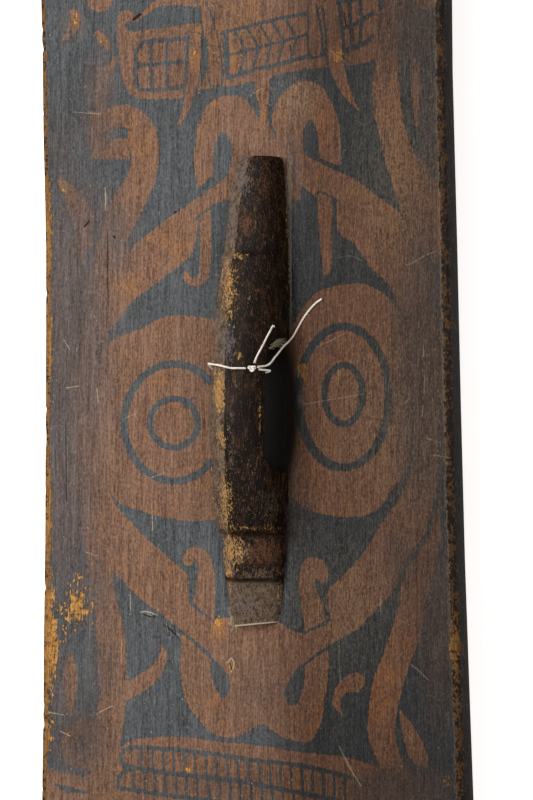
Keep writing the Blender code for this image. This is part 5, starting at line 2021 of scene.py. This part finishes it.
@dataclass(frozen=True)
class Studio:
    """A pale floor, a large soft light from the upper left and a pale room."""

    floor_side: float = 14.0
    room: float = 0.42
    sheet_glow: float = 0.58
    softbox: tuple = (-1.5, 0.9, 2.2)
    softbox_side: float = 1.9
    softbox_watts: float = 88.0
    fill: tuple = (1.8, -0.6, 2.0)
    fill_side: float = 1.6
    fill_watts: float = 22.0

    def build(self) -> None:
        """Make the floor and the lights."""
        half = self.floor_side / 2
        corners = [(-half, -half, 0), (half, -half, 0), (half, half, 0), (-half, half, 0)]
        floor = mesh_piece("studio floor", corners, [(0, 1, 2, 3)], closed=False)
        # Opal acrylic, moulded flat and lit from behind: an even pale ground with hardly a shadow.
        sheet = Finish("Backlit opal acrylic sheet")
        shader = {"Base Color": "#f4f4f3", "Roughness": 0.9, "Emission Color": "#ffffff",
                  "Emission Strength": self.sheet_glow}
        floor.data.materials.append(sheet.finished(sheet.started(), shader, None, 0.0, 0.0))
        for name, place, side, watts in (("softbox", self.softbox, self.softbox_side, self.softbox_watts),
                                         ("fill", self.fill, self.fill_side, self.fill_watts)):
            data = bpy.data.lights.new(name, "AREA")
            data.size = side
            data.energy = watts
            lamp = bpy.data.objects.new(name, data)
            bpy.context.scene.collection.objects.link(lamp)
            back = Vector(place).normalized()
            turn = back.to_track_quat("Z", "Y").to_matrix().to_4x4()
            lamp.matrix_world = Matrix.Translation(Vector(place)) @ turn
        world = bpy.data.worlds.new("pale room")
        world.use_nodes = True
        world.node_tree.nodes["Background"].inputs["Color"].default_value = linear("#ffffff")
        world.node_tree.nodes["Background"].inputs["Strength"].default_value = self.room
        bpy.context.scene.world = world
        bpy.context.scene.view_settings.view_transform = "Standard"


def main() -> None:
    """Build the shield and its string round the frame, then the studio and the camera."""
    logging.basicConfig(level=logging.INFO, format="%(name)s: %(message)s")
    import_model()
    board_form, handle_form = BoardForm(), HandleForm()
    view = PhotoView(board_form)
    view.build()
    string = StringForm(board_form, handle_form)
    twisted = TwistedString(string.diameter)
    tree, cotton = twisted.tree(), TwistedCotton().build()
    routes = {"knot": string.knot_line(), "loop": string.loop(), "tail_short": string.short_end(),
              "tail_long": string.long_end()}
    for name, route in routes.items():
        piece = twisted.build(f"cotton_{name}", route, cotton, tree, closed=name == "knot")
        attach(piece, "root")
        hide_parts(f"tie_{name}")
        LOG.info("%s: %d faces", piece.name, len(piece.data.polygons))
    for name, end, lay in (("loop", "knot", "taut"), ("tail_short", "bare", "loose"),
                           ("tail_long", "bare", "loose")):
        route = routes[name]
        length = float(np.linalg.norm(np.diff(route, axis=0), axis=1).sum())
        tuple(route[0])
        [tuple(point) for point in route]
    shield = Shield(board_form, handle_form, view).build([PaintedPlank().build(), GreasedHandle().build()])
    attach(shield, "root")
    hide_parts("shield")
    fibres = TornFibres(view).build(shield, SplitWood().build())
    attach(fibres, "root")
    for piece in (shield, fibres):
        LOG.info("%s: %d faces", piece.name, len(piece.data.polygons))
    Studio().build()


if __name__ == "__main__":
    main()
